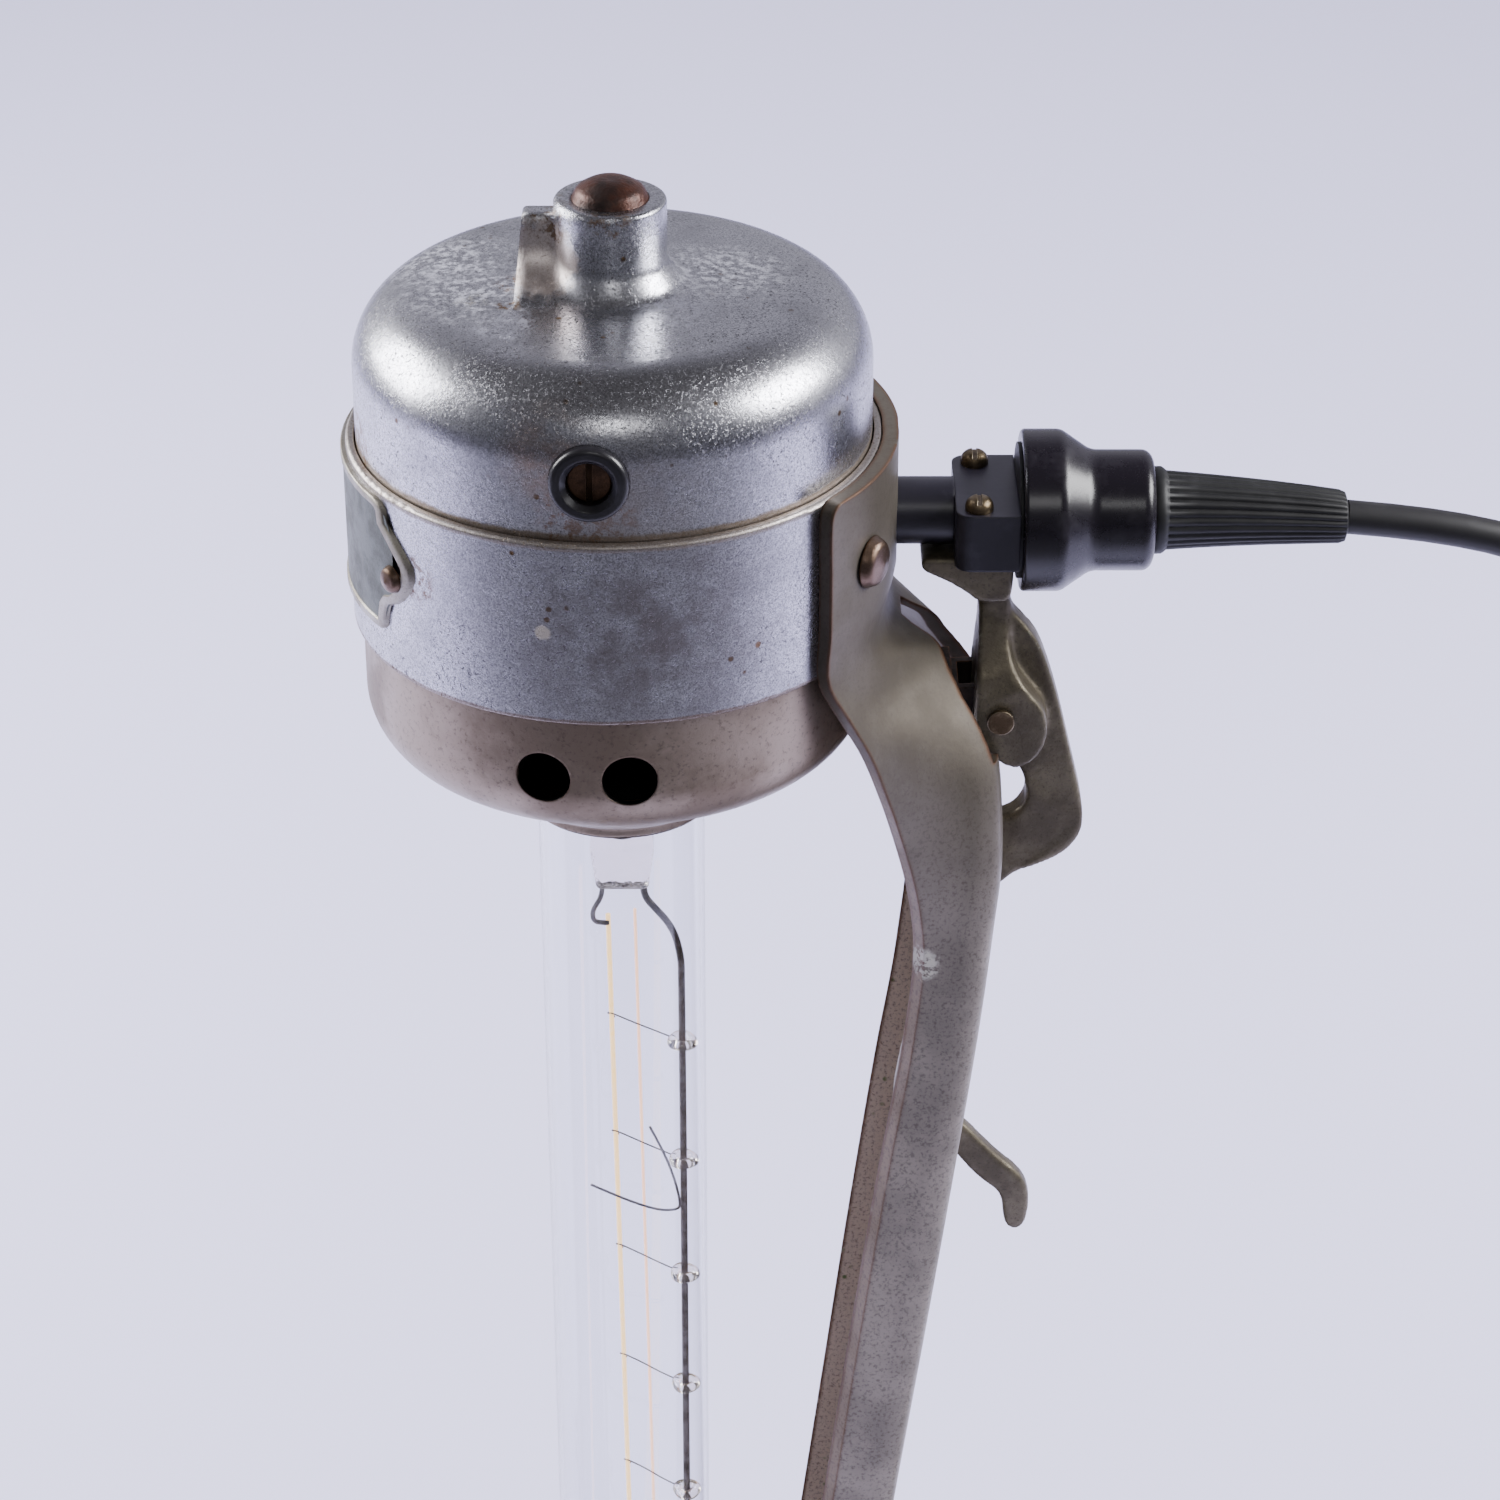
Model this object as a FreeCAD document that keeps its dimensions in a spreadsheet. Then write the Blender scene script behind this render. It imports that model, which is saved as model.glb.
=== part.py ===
import FreeCAD, Part
import math
import os
import re
import Sketcher

# Table lamp made from an old motor head: a nickelled round housing on a pressed channel column,
# a long tubular lamp hanging from it, a side inlet with its plug and lead, and a sprung switch lever.
# Millimetres.  X points from the lamp's axis to the column, Z is up, and the origin is on the table
# under the lamp's axis.  Pieces of the head, column, lever and lamp are drawn about the housing
# shell's lower edge, which is head_height above the table.

DIMENSIONS = {
    "head_height": 325, "running_gap": 0.05,
    # housing shell, top cap and lower cover
    "shell_radius": 49, "shell_wall": 1.55, "shell_length": 35.4, "bead_round": 0.8,
    "cap_radius": 47.1, "cap_wall": 1.5, "cap_sleeve_z": 26, "cap_top_z": 62.6, "cap_round": 14,
    "crown_radius": 13, "crown_z": 64.2,
    "boss_radius": 10.1, "boss_top_z": 79.8, "boss_bore": 7, "boss_floor_z": 72,
    "fin_reach": 17.2, "fin_top_reach": 15.6, "fin_top_z": 77.3, "fin_thickness": 4,
    "plug_dome_z": 83.4,
    "cover_radius": 47.4, "cover_wall": 1.3, "cover_sleeve_z": 8, "cover_bowl_z": -21.5,
    "bowl_radius": 31, "bowl_z": -31.8, "nose_radius": 19, "nose_z": -39.6, "nose_end_z": -41.4,
    "nose_bore": 17.75, "vent_radius": 5, "vent_z": -12.4,
    "vent_angle_a": -104.9, "vent_angle_b": -85.9,
    "collar_bore": 16.9, "collar_top_z": -34,
    # brush holders, their screws and the maker's plate
    "brush_angle": -93.4, "brush_z": 46.5, "brush_radius": 7, "brush_bore": 4, "brush_face": 48.4,
    "brush_root": 38, "brush_screw_face": 46.4,
    "plate_thickness": 0.8, "plate_low_z": 6, "plate_high_z": 33, "plate_tip_y": 33.1,
    "plate_tip_z": 21.8, "plate_rivet_angle": 141, "plate_rivet_z": 20,
    # lampholder inside the head
    "holder_bore": 13.4, "holder_wall": 0.6, "holder_low_z": -8, "holder_top_z": 17.4,
    "holder_block_radius": 16, "holder_block_z": 24, "strap_width": 24, "strap_thickness": 2,
    "strap_tab_z": 12, "strap_screw_y": 11,
    # column
    "column_radius": 52, "column_bore": 49.05, "column_angle": 41, "column_edge": 1.9, "column_top_z": 35.4,
    "column_wall": 2.8, "column_foot_z": -313.4, "column_lean": 6.8,
    "rivet_angle": 27, "rivet_z": 19.5, "rivet_radius": 2.2, "rivet_head": 4.9, "rivet_dome": 2.8,
    # inlet tube, terminal block and plug on the inlet axis
    "inlet_z": 18, "inlet_radius": 6.27, "inlet_bore": 4.5, "inlet_start": 44.4, "inlet_flange": 8,
    "block_start": 62.3, "block_end": 74, "block_half_width": 13, "block_low_z": 11.8,
    "block_high_z": 23, "block_round": 3, "block_screw_x": 66.5, "block_screw_y": 9.6,
    "block_screw_radius": 2.6, "gasket_end": 74.6,
    "plug_radius": 15, "plug_step": 82, "barrel_radius": 11.2, "barrel_start": 87.5,
    "barrel_end": 99, "plug_cavity": 9, "pin_radius": 2, "pin_y": 5, "pin_end": 88,
    "relief_flange": 7.9, "relief_start": 101.5, "relief_mid": 117, "relief_end": 135,
    # switch lever, its pin, bracket, spring and plunger
    "pivot_x": 71.8, "pivot_z": -21.6, "pivot_radius": 2, "ear_face": 9,
    "web_half": 2.5, "arm_half": 1.9, "cheek_outer": 6, "cheek_inner": 4.3, "cheek_radius": 6,
    "plunger_x": 59.5, "plunger_radius": 1.8, "plunger_low_z": 11.45, "plunger_top_z": 17.2,
    "spring_radius": 3.7, "spring_wire": 0.4, "spring_length": 4,
    # lamp
    "lamp_radius": 16, "glass_wall": 0.9, "lamp_tip_z": -283, "shoulder_z": -22, "neck_z": -7,
    "neck_radius": 11.6, "cap_shell_radius": 13, "cap_shell_top_z": 12, "contact_z": 17,
    "wire_x": 11.2, "wire_y": -3, "wire_radius": 0.7, "bead_ring": 1.9, "bead_radius": 1.1,
    "bead_top_z": -98, "bead_pitch": 28.8, "bead_count": 6, "filament_x": -3.3, "filament_y": 6,
    "second_x": 2, "filament_lean": 2.4, "filament_radius": 0.3, "filament_top_z": -74,
    "filament_low_z": -262, "press_low_z": -63,
    # base
    "base_radius": 78, "base_wall": 1.5, "base_top_z": 11.5, "base_step_radius": 52,
    "felt_radius": 73, "felt_thickness": 1.5, "foot_half_width": 17.7,
    # lead
    "lead_radius": 3.25, "coil_x": 150, "coil_y": -10, "coil_middle": 35.75, "mains_y": 22,
}

# Column sections from the saddle down: height, leading edge x and half-width, back face x and the
# half-width of its corner, and the outside radius of that corner.
COLUMN_SECTIONS = (
    (-8, 42.7, 33.0, 62.6, 3.0, 6),
    (-16, 46.6, 31.8, 67.3, 8.4, 6),
    (-27, 50.2, 29.6, 71.1, 14.6, 5),
    (-38, 53.2, 26.7, 72.2, 18.4, 5),
    (-50, 56.0, 24.2, 72.4, 20.4, 5),
    (-64, 57.8, 22.1, 71.3, 21.2, 5),
    (-87, 56.3, 21.4, 69.2, 21.4, 5),
    (-115, 52.4, 21.3, 66.0, 21.3, 5),
    (-157, 47.1, 21.3, 60.9, 21.3, 5),
    (-199, 42.2, 21.3, 55.6, 21.3, 5),
)

# The lead's route from its strain relief to the top of its coil, in the row frame.
LEAD_ROUTE = (
    (135.0, 0, 343.0), (160, 0, 342), (182, 1, 331), (196, 4, 309), (202, 9, 277), (204, 17, 228),
    (205, 27, 172), (206, 37, 118), (206, 43, 72), (203, 39, 38), (196, 20, 19.5), (185.75, -10, 14.6),
)
TAIL_ROUTE = ((107.9, -12, 3.3), (107.6, 4, 4.2), (108.4, 22, 7.6))

XY, XZ, YZ = "XY_Plane", "XZ_Plane", "YZ_Plane"
ALONG_X = FreeCAD.Rotation(FreeCAD.Vector(0, 0, 1), FreeCAD.Vector(1, 0, 0))
ALONG_Y = FreeCAD.Rotation(FreeCAD.Vector(0, 0, 1), FreeCAD.Vector(0, 1, 0))
ALONG_Z = FreeCAD.Rotation()

doc = FreeCAD.newDocument("lamp")
sheet = doc.addObject("Spreadsheet::Sheet", "dims")
nodes = []


def fill_sheet():
    """Write the driving dimensions, one alias to a row."""
    for row, (name, size) in enumerate(DIMENSIONS.items(), start=1):
        sheet.set("A%d" % row, name)
        sheet.set("B%d" % row, str(size))
        sheet.setAlias("B%d" % row, name)
    doc.recompute()


def formula(text):
    """Turn words of a formula into references to the sheet."""
    return re.sub(r"\b(?!cos\b|sin\b|tan\b)[a-z][a-z_]+\b", r"dims.\g<0>", str(text))


def value(text):
    return float(sheet.evalExpression(formula(text)))


def bind(item, name, text):
    item.setExpression(name, formula(text))


def seat(item, x="0", y="0", z="head_height", turn=ALONG_Z):
    """Place an item by formulas and one rotation."""
    item.Placement = FreeCAD.Placement(FreeCAD.Vector(value(x), value(y), value(z)), turn)
    bind(item, "Placement.Base.x", x)
    bind(item, "Placement.Base.y", y)
    bind(item, "Placement.Base.z", z)
    return item


def turned_to(angle):
    return FreeCAD.Rotation(FreeCAD.Vector(0, 0, 1), value(angle))


def node(item, label):
    item.Label = label
    nodes.append(item)
    return item


# ---- sketches and features ----

def fix_point(sketch, geometry, x, y):
    """Hold a geometry's first point at two formulas."""
    for kind, text, axis in (("DistanceX", x, -2), ("DistanceY", y, -1)):
        if str(text) == "0":
            sketch.addConstraint(Sketcher.Constraint("PointOnObject", geometry, 1, axis))
        else:
            number = sketch.addConstraint(Sketcher.Constraint(kind, -1, 1, geometry, 1, value(text)))
            sketch.setExpression("Constraints[%d]" % number, formula(text))


def draw(sketch, corners):
    """Draw a closed outline whose corners are (x, y) or (x, y, round radius) formulas."""
    count = len(corners)
    places = [FreeCAD.Vector(value(c[0]), value(c[1]), 0) for c in corners]
    ends = []
    for i, corner in enumerate(corners):
        back = (places[i - 1] - places[i]).normalize()
        ahead = (places[(i + 1) % count] - places[i]).normalize()
        radius = value(corner[2]) if len(corner) > 2 else 0
        half = back.getAngle(ahead) / 2
        reach = radius / math.tan(half)
        ends.append((places[i] + back * reach, places[i] + ahead * reach, back, ahead, radius, half))
    lines = []
    for i in range(count):
        start, finish = ends[i][1], ends[(i + 1) % count][0]
        assert (finish - start).dot(ends[i][3]) > 0, "the rounds of corners %d and %d meet" % (i, i + 1)
        lines.append(sketch.addGeometry(Part.LineSegment(start, finish)))
    for i, corner in enumerate(corners):
        before, after = lines[i - 1], lines[i]
        start, finish, back, ahead, radius, half = ends[i]
        if not radius:
            sketch.addConstraint(Sketcher.Constraint("Coincident", before, 2, after, 1))
            fix_point(sketch, after, corner[0], corner[1])
            continue
        centre = places[i] + (back + ahead).normalize() * (radius / math.sin(half))
        left_turn = back.cross(ahead).z < 0
        first, last = (start, finish) if left_turn else (finish, start)
        angles = [math.atan2(p.y - centre.y, p.x - centre.x) for p in (first, last)]
        circle = Part.Circle(centre, FreeCAD.Vector(0, 0, 1), radius)
        arc = sketch.addGeometry(Part.ArcOfCircle(circle, angles[0], angles[1]))
        enter, leave = (1, 2) if left_turn else (2, 1)
        sketch.addConstraint(Sketcher.Constraint("Tangent", before, 2, arc, enter))
        sketch.addConstraint(Sketcher.Constraint("Tangent", arc, leave, after, 1))
        number = sketch.addConstraint(Sketcher.Constraint("Radius", arc, radius))
        sketch.setExpression("Constraints[%d]" % number, formula(corner[2]))
        tip = sketch.addGeometry(Part.Point(places[i]), True)
        sketch.addConstraint(Sketcher.Constraint("PointOnObject", tip, 1, before))
        sketch.addConstraint(Sketcher.Constraint("PointOnObject", tip, 1, after))
        fix_point(sketch, tip, corner[0], corner[1])


def outline(body, role, corners):
    """A closed sketch on one of the body's own origin planes."""
    sketch = body.newObject("Sketcher::SketchObject", "Outline")
    plane = [item for item in body.Origin.OriginFeatures if item.Role == role][0]
    sketch.AttachmentSupport = [(plane, "")]
    sketch.MapMode = "FlatFace"
    draw(sketch, corners)
    return sketch


def turned(corners, axis="V_Axis", z="head_height", turn=ALONG_Z, x="0", y="0"):
    """A body turned about the vertical (V_Axis) or the X axis (H_Axis) from an XZ outline."""
    body = doc.addObject("PartDesign::Body", "Turned")
    sketch = outline(body, XZ, corners)
    feature = body.newObject("PartDesign::Revolution", "Revolution")
    feature.Profile = sketch
    feature.ReferenceAxis = (sketch, [axis])
    feature.Angle = 360
    doc.recompute()
    return seat(body, x, y, z, turn)


def padded(parts, role=XZ, z="head_height", x="0", y="0", turn=ALONG_Z):
    """A body of symmetric pads: parts are (corners, full thickness formula)."""
    body = doc.addObject("PartDesign::Body", "Padded")
    for corners, thickness in parts:
        sketch = outline(body, role, corners)
        feature = body.newObject("PartDesign::Pad", "Pad")
        feature.Profile = sketch
        feature.Midplane = True
        bind(feature, "Length", thickness)
        doc.recompute()
    return seat(body, x, y, z, turn)


def rod(radius, length, x="0", y="0", z="head_height", turn=ALONG_Z):
    item = doc.addObject("Part::Cylinder", "Rod")
    bind(item, "Radius", radius)
    bind(item, "Height", length)
    return seat(item, x, y, z, turn)


def block(length, width, height, x, y, z):
    """A box centred on x and y, standing on z."""
    item = doc.addObject("Part::Box", "Block")
    bind(item, "Length", length)
    bind(item, "Width", width)
    bind(item, "Height", height)
    return seat(item, "(%s) - (%s) / 2" % (x, length), "(%s) - (%s) / 2" % (y, width), z)


def group(items):
    item = doc.addObject("Part::Compound", "Group")
    item.Links = items
    return item


def cut(base, tools):
    """Take tools away from a base, and make sure that something went."""
    item = doc.addObject("Part::Cut", "Cut")
    item.Base = base
    item.Tool = group(tools) if len(tools) > 1 else tools[0]
    doc.recompute()
    assert item.Shape.Volume < base.Shape.Volume - 0.01, "a cut took nothing away"
    return item


def common(first, second):
    item = doc.addObject("Part::Common", "Common")
    item.Base = first
    item.Tool = second
    doc.recompute()
    return item


def joined(items):
    item = doc.addObject("Part::MultiFuse", "Joined")
    item.Shapes = items
    item.Refine = True
    doc.recompute()
    return item


def made(shape, z="head_height"):
    """A feature holding a shape made by Part's own functions."""
    item = doc.addObject("Part::Feature", "Made")
    item.Shape = shape
    return seat(item, z=z)


# ---- head: cap, shell, cover and their fittings ----

def radial_hole(radius, angle, height):
    """A drill along a radius of the head."""
    return rod(radius, "shell_radius + 20", z="head_height + " + height,
               turn=turned_to(angle).multiply(ALONG_X))


def top_cap():
    """Drawn cap with its hollow boss, the cast fin beside it and the brush holder holes."""
    skin = turned((
        ("cap_radius - cap_wall", "cap_sleeve_z"),
        ("cap_radius", "cap_sleeve_z"),
        ("cap_radius", "cap_top_z", "cap_round"),
        ("crown_radius", "crown_z", "3"),
        ("boss_radius", "crown_z + 4", "3"),
        ("boss_radius", "boss_top_z", "0.8"),
        ("boss_bore", "boss_top_z"),
        ("boss_bore", "boss_floor_z"),
        ("0", "boss_floor_z"),
        ("0", "cap_top_z - cap_wall"),
        ("cap_radius - cap_wall", "cap_top_z - cap_wall", "cap_round - cap_wall"),
    ))
    fin = common(
        padded((((
            ("-2", "cap_top_z - 0.5"),
            ("-2", "fin_top_z"),
            ("-fin_top_reach", "fin_top_z", "1"),
            ("-fin_reach", "cap_top_z - 0.5"),
        ), "60"),)),
        padded((((
            ("fin_thickness", "cap_top_z - 0.5"),
            ("fin_thickness / 2", "fin_top_z + 1"),
            ("-fin_thickness / 2", "fin_top_z + 1"),
            ("-fin_thickness * 0.8", "cap_top_z + 5.5", "8"),
            ("-fin_thickness * 3.6", "cap_top_z + 0.6", "1.2"),
            ("-fin_thickness * 3.6", "cap_top_z - 0.5"),
        ), "80"),), YZ))
    holes = [radial_hole("brush_radius", side, "brush_z") for side in ("brush_angle", "brush_angle + 180")]
    holes.append(rod("boss_bore", "20", z="head_height + boss_floor_z"))
    node(cut(joined([skin, fin]), holes), "top_cap")


def boss_plug():
    node(turned((
        ("0", "boss_floor_z"),
        ("boss_bore", "boss_floor_z"),
        ("boss_bore", "boss_top_z - 0.3"),
        ("boss_bore - 0.9", "plug_dome_z - 1.8", "2.5"),
        ("boss_bore * 0.42", "plug_dome_z", "6"),
        ("0", "plug_dome_z"),
    )), "boss_plug")


def brush_holders():
    """Insulating bushes in the cap's sides, each with a slotted brush cap screwed in."""
    bushes = []
    screws = []
    for side in ("brush_angle", "brush_angle + 180"):
        bushes.append(turned((
            ("brush_root", "brush_bore"),
            ("brush_root", "brush_radius"),
            ("brush_face", "brush_radius", "1"),
            ("brush_face", "brush_bore + 1"),
            ("brush_face - 1", "brush_bore"),
        ), "H_Axis", "head_height + brush_z", turned_to(side)))
        screw = turned((
            ("brush_root + 2", "0"),
            ("brush_root + 2", "brush_bore - running_gap"),
            ("brush_screw_face", "brush_bore - running_gap", "0.4"),
            ("brush_screw_face", "0"),
        ), "H_Axis", "head_height + brush_z", turned_to(side))
        slot = padded((((
            ("brush_screw_face - 1.2", "-brush_bore - 1"),
            ("brush_screw_face + 1", "-brush_bore - 1"),
            ("brush_screw_face + 1", "brush_bore + 1"),
            ("brush_screw_face - 1.2", "brush_bore + 1"),
        ), "1.1"),), z="head_height + brush_z", turn=turned_to(side))
        screws.append(cut(screw, [slot]))
    node(group(bushes), "brush_insulators")
    node(group(screws), "brush_cap_screws")


def body_shell():
    """Plain tube between the cap and the cover, drilled for rivets and the inlet."""
    tube = turned((
        ("shell_radius - shell_wall", "0"),
        ("shell_radius", "0", "0.4"),
        ("shell_radius", "shell_length", "bead_round"),
        ("shell_radius - shell_wall", "shell_length"),
    ))
    holes = [radial_hole("inlet_radius", "0", "inlet_z")]
    for side in ("rivet_angle", "-rivet_angle"):
        holes.append(radial_hole("rivet_radius", side, "rivet_z"))
    for side in ("plate_rivet_angle", "-plate_rivet_angle"):
        holes.append(radial_hole("1", side, "plate_rivet_z"))
    node(cut(tube, holes), "body_shell")


def name_plate():
    """Blank shaped plate bent to the shell on the side away from the column."""
    skin = turned((
        ("shell_radius", "plate_low_z"),
        ("shell_radius + plate_thickness", "plate_low_z"),
        ("shell_radius + plate_thickness", "plate_high_z"),
        ("shell_radius", "plate_high_z"),
    ))
    half = (
        ("26", "plate_high_z", "3"),
        ("29.5", "27.5", "2"),
        ("plate_tip_y", "plate_tip_z", "4"),
        ("30", "14", "2"),
        ("27.2", "plate_low_z", "3"),
    )
    mirrored = tuple(("-" + c[0], c[1], c[2]) for c in reversed(half))
    shape = padded(((half + mirrored, "shell_radius * 2"),), YZ, x="-shell_radius")
    holes = [radial_hole("1", side, "plate_rivet_z")
             for side in ("plate_rivet_angle", "-plate_rivet_angle")]
    node(cut(common(skin, shape), holes), "name_plate")
    rivets = []
    for side in ("plate_rivet_angle", "-plate_rivet_angle"):
        rivets.append(turned((
            ("shell_radius - shell_wall - 0.8", "0"),
            ("shell_radius - shell_wall - 0.8", "1"),
            ("shell_radius + plate_thickness + 0.05", "1"),
            ("shell_radius + plate_thickness + 0.05", "2.6"),
            ("shell_radius + plate_thickness + 1.3", "2.2", "1"),
            ("shell_radius + plate_thickness + 1.9", "0"),
        ), "H_Axis", "head_height + plate_rivet_z", turned_to(side)))
    node(group(rivets), "name_plate_rivets")


def degrees(angle):
    return "(%s) * 1deg" % angle


def lower_cover():
    """Spun bowl under the shell with a short nose round the lamp and two pairs of vents."""
    bowl = turned((
        ("cover_radius - cover_wall", "cover_sleeve_z"),
        ("cover_radius - cover_wall", "cover_bowl_z + 0.6", "10.7"),
        ("bowl_radius - 0.6", "bowl_z + cover_wall", "29"),
        ("nose_radius", "nose_z + cover_wall * 1.3"),
        ("nose_bore", "nose_z + cover_wall * 1.3"),
        ("nose_bore", "nose_end_z"),
        ("nose_radius", "nose_end_z", "0.4"),
        ("nose_radius", "nose_z", "0.4"),
        ("bowl_radius", "bowl_z", "30"),
        ("cover_radius", "cover_bowl_z", "12"),
        ("cover_radius", "cover_sleeve_z"),
    ))
    angles = ("vent_angle_a", "vent_angle_b", "vent_angle_a + 180", "vent_angle_b + 180")
    node(cut(bowl, [radial_hole("vent_radius", angle, "vent_z") for angle in angles]), "lower_cover")


def lamp_collar():
    node(turned((
        ("collar_bore", "nose_end_z - 0.6"),
        ("nose_bore + 0.5", "nose_end_z - 0.6", "0.2"),
        ("nose_bore + 0.5", "nose_end_z"),
        ("nose_bore", "nose_end_z"),
        ("nose_bore", "collar_top_z"),
        ("collar_bore", "collar_top_z"),
    )), "lamp_collar")


# ---- lampholder and wiring inside the head ----

def lampholder():
    """Screw shell, insulating block and sprung centre contact, hung from a strap."""
    node(turned((
        ("holder_bore", "holder_low_z"),
        ("holder_bore + 2", "holder_low_z"),
        ("holder_bore + 2", "holder_low_z + holder_wall"),
        ("holder_bore + holder_wall", "holder_low_z + holder_wall"),
        ("holder_bore + holder_wall", "holder_top_z"),
        ("holder_bore", "holder_top_z"),
    )), "lampholder_shell")
    disc = turned((
        ("0", "holder_top_z + 1.4"),
        ("4", "holder_top_z + 1.4"),
        ("4", "holder_top_z"),
        ("holder_block_radius", "holder_top_z", "1"),
        ("holder_block_radius", "holder_block_z", "1"),
        ("0", "holder_block_z"),
    ))
    screw_holes = [rod("1.5", "20", "0", side, "head_height + holder_top_z + 1")
                   for side in ("strap_screw_y", "-strap_screw_y")]
    node(cut(disc, screw_holes), "lampholder_insulator")
    node(turned((
        ("0", "contact_z + running_gap"),
        ("3.4", "contact_z + running_gap", "0.3"),
        ("3.4", "holder_top_z + 1.4"),
        ("0", "holder_top_z + 1.4"),
    )), "centre_contact")
    strap = joined([
        common(block("strap_width", "shell_radius * 2", "strap_thickness", "0", "0",
                     "head_height + holder_block_z"),
               rod("shell_radius - shell_wall", "100", z="head_height - 20")),
        common(block("strap_width", "shell_radius * 2", "holder_block_z - strap_tab_z", "0", "0",
                     "head_height + strap_tab_z"),
               turned((("shell_radius - shell_wall - strap_thickness", "strap_tab_z"),
                       ("shell_radius - shell_wall", "strap_tab_z"),
                       ("shell_radius - shell_wall", "holder_block_z + strap_thickness"),
                       ("shell_radius - shell_wall - strap_thickness", "holder_block_z + strap_thickness")))),
    ])
    strap_holes = [rod("1.5", "20", "0", side, "head_height + holder_block_z - 5")
                   for side in ("strap_screw_y", "-strap_screw_y")]
    node(cut(strap, strap_holes), "lampholder_bracket")
    screws = [turned((
        ("0", "holder_top_z + 2"),
        ("1.5", "holder_top_z + 2"),
        ("1.5", "holder_block_z + strap_thickness"),
        ("2.8", "holder_block_z + strap_thickness"),
        ("2.8", "holder_block_z + strap_thickness + 1.6", "1"),
        ("0", "holder_block_z + strap_thickness + 1.6"),
    ), y=side) for side in ("strap_screw_y", "-strap_screw_y")]
    node(group(screws), "lampholder_screws")


def piped(route, radius):
    """A round wire along straight runs joined by tangent arcs, with its tightest radius."""
    points = [FreeCAD.Vector(*place) for place in route]
    edges = []
    tightest = None
    start = points[0]
    for back, here, ahead in zip(points, points[1:], points[2:]):
        into = (here - back).normalize()
        out = (ahead - here).normalize()
        turn = into.getAngle(out)
        reach = 0.45 * min((here - back).Length, (ahead - here).Length)
        bend = reach / math.tan(turn / 2)
        tightest = bend if tightest is None else min(tightest, bend)
        first = here - into * reach
        last = here + out * reach
        middle = here + (out - into).normalize() * (bend / math.cos(turn / 2) - bend)
        edges.append(Part.LineSegment(start, first).toShape())
        edges.append(Part.Arc(first, middle, last).toShape())
        start = last
    edges.append(Part.LineSegment(start, points[-1]).toShape())
    path = Part.Wire(edges)
    ring = Part.Wire(Part.Circle(points[0], points[1] - points[0], radius).toShape())
    shape = path.makePipeShell([ring], True, False)
    assert abs(shape.Volume / (math.pi * radius ** 2 * path.Length) - 1) < 0.01, "a pipe is wrong"
    return shape, path.Length, tightest


def internal_leads():
    """Two insulated wires from the inlet to the sides of the lampholder block."""
    start = value("inlet_start") - 4
    height = value("inlet_z") + 2.2
    edge = value("holder_block_radius") - 0.1
    wires = []
    for side in (-1, 1):
        route = ((value("block_start") + 6, side * 1.8, height - 0.2), (start, side * 1.8, height),
                 ((start + edge) / 2 + 2, side * 4.6, height + 1.2), (edge, side * 5.5, height))
        wires.append(piped(route, 1.1)[0])
    node(made(Part.makeCompound(wires)), "internal_leads")


# ---- column ----

def channel_points(leading, corner, bend, depth):
    """Half of a channel section, from its leading edge to the middle of its back, moved in by depth.

    The leading edge is bevelled: it reaches further forward inside than outside.
    """
    lead = FreeCAD.Vector(leading[0], leading[1], 0)
    sharp = FreeCAD.Vector(corner[0], corner[1], 0)
    side = (sharp - lead).normalize()
    inward = FreeCAD.Vector(side.y, -side.x, 0)
    step = depth * (value("column_edge / column_wall") + inward.x)
    lead = lead + inward * depth - side * max(step, 0)
    back = FreeCAD.Vector(0, -1, 0)
    half = (-side).getAngle(back) / 2
    sharp = sharp - FreeCAD.Vector(depth, 0, 0) - FreeCAD.Vector(0, depth / math.tan(half), 0)
    radius = max(bend - depth, 1.2)
    reach = min(radius / math.tan(half), sharp.y * 0.9)
    first = sharp - side * reach
    last = sharp + back * reach
    middle = (first + last) * 0.25 + sharp * 0.5
    return [lead, lead * 0.67 + first * 0.33, lead * 0.33 + first * 0.67, first, middle, last,
            FreeCAD.Vector(sharp.x, last.y * 0.5, 0)]


def saddle_points(depth):
    """The same half section where the column is still part of a cylinder."""
    radius = value("column_radius") - depth
    steps = [math.radians(value("column_angle")) * part for part in (1, 0.82, 0.64, 0.46, 0.34, 0.22, 0.11)]
    return [FreeCAD.Vector(radius * math.cos(a), radius * math.sin(a), 0) for a in steps]


def section_wire(outer, inner, height):
    """Close a section: outer and inner curves mirrored about the middle, and two end lines."""
    curves = []
    for half in (outer, inner):
        middle = FreeCAD.Vector(half[-1].x, 0, 0)
        mirrored = [FreeCAD.Vector(p.x, -p.y, 0) for p in reversed(half)]
        points = [p + FreeCAD.Vector(0, 0, height) for p in half + [middle] + mirrored]
        curve = Part.BSplineCurve()
        curve.interpolate(points)
        curves.append((curve.toShape(), points[0], points[-1]))
    ends = [Part.LineSegment(curves[0][2], curves[1][2]).toShape(),
            Part.LineSegment(curves[1][1], curves[0][1]).toShape()]
    return Part.Wire([curves[0][0], ends[0], curves[1][0], ends[1]])


def between(rows, part):
    """A row part of the way from the second to the third of four, on a smooth curve through them."""
    weights = (
        -0.5 * part + part ** 2 - 0.5 * part ** 3,
        1 - 2.5 * part ** 2 + 1.5 * part ** 3,
        0.5 * part + 2 * part ** 2 - 1.5 * part ** 3,
        -0.5 * part ** 2 + 0.5 * part ** 3,
    )
    return tuple(sum(w * row[k] for w, row in zip(weights, rows)) for k in range(len(rows[0])))


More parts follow.
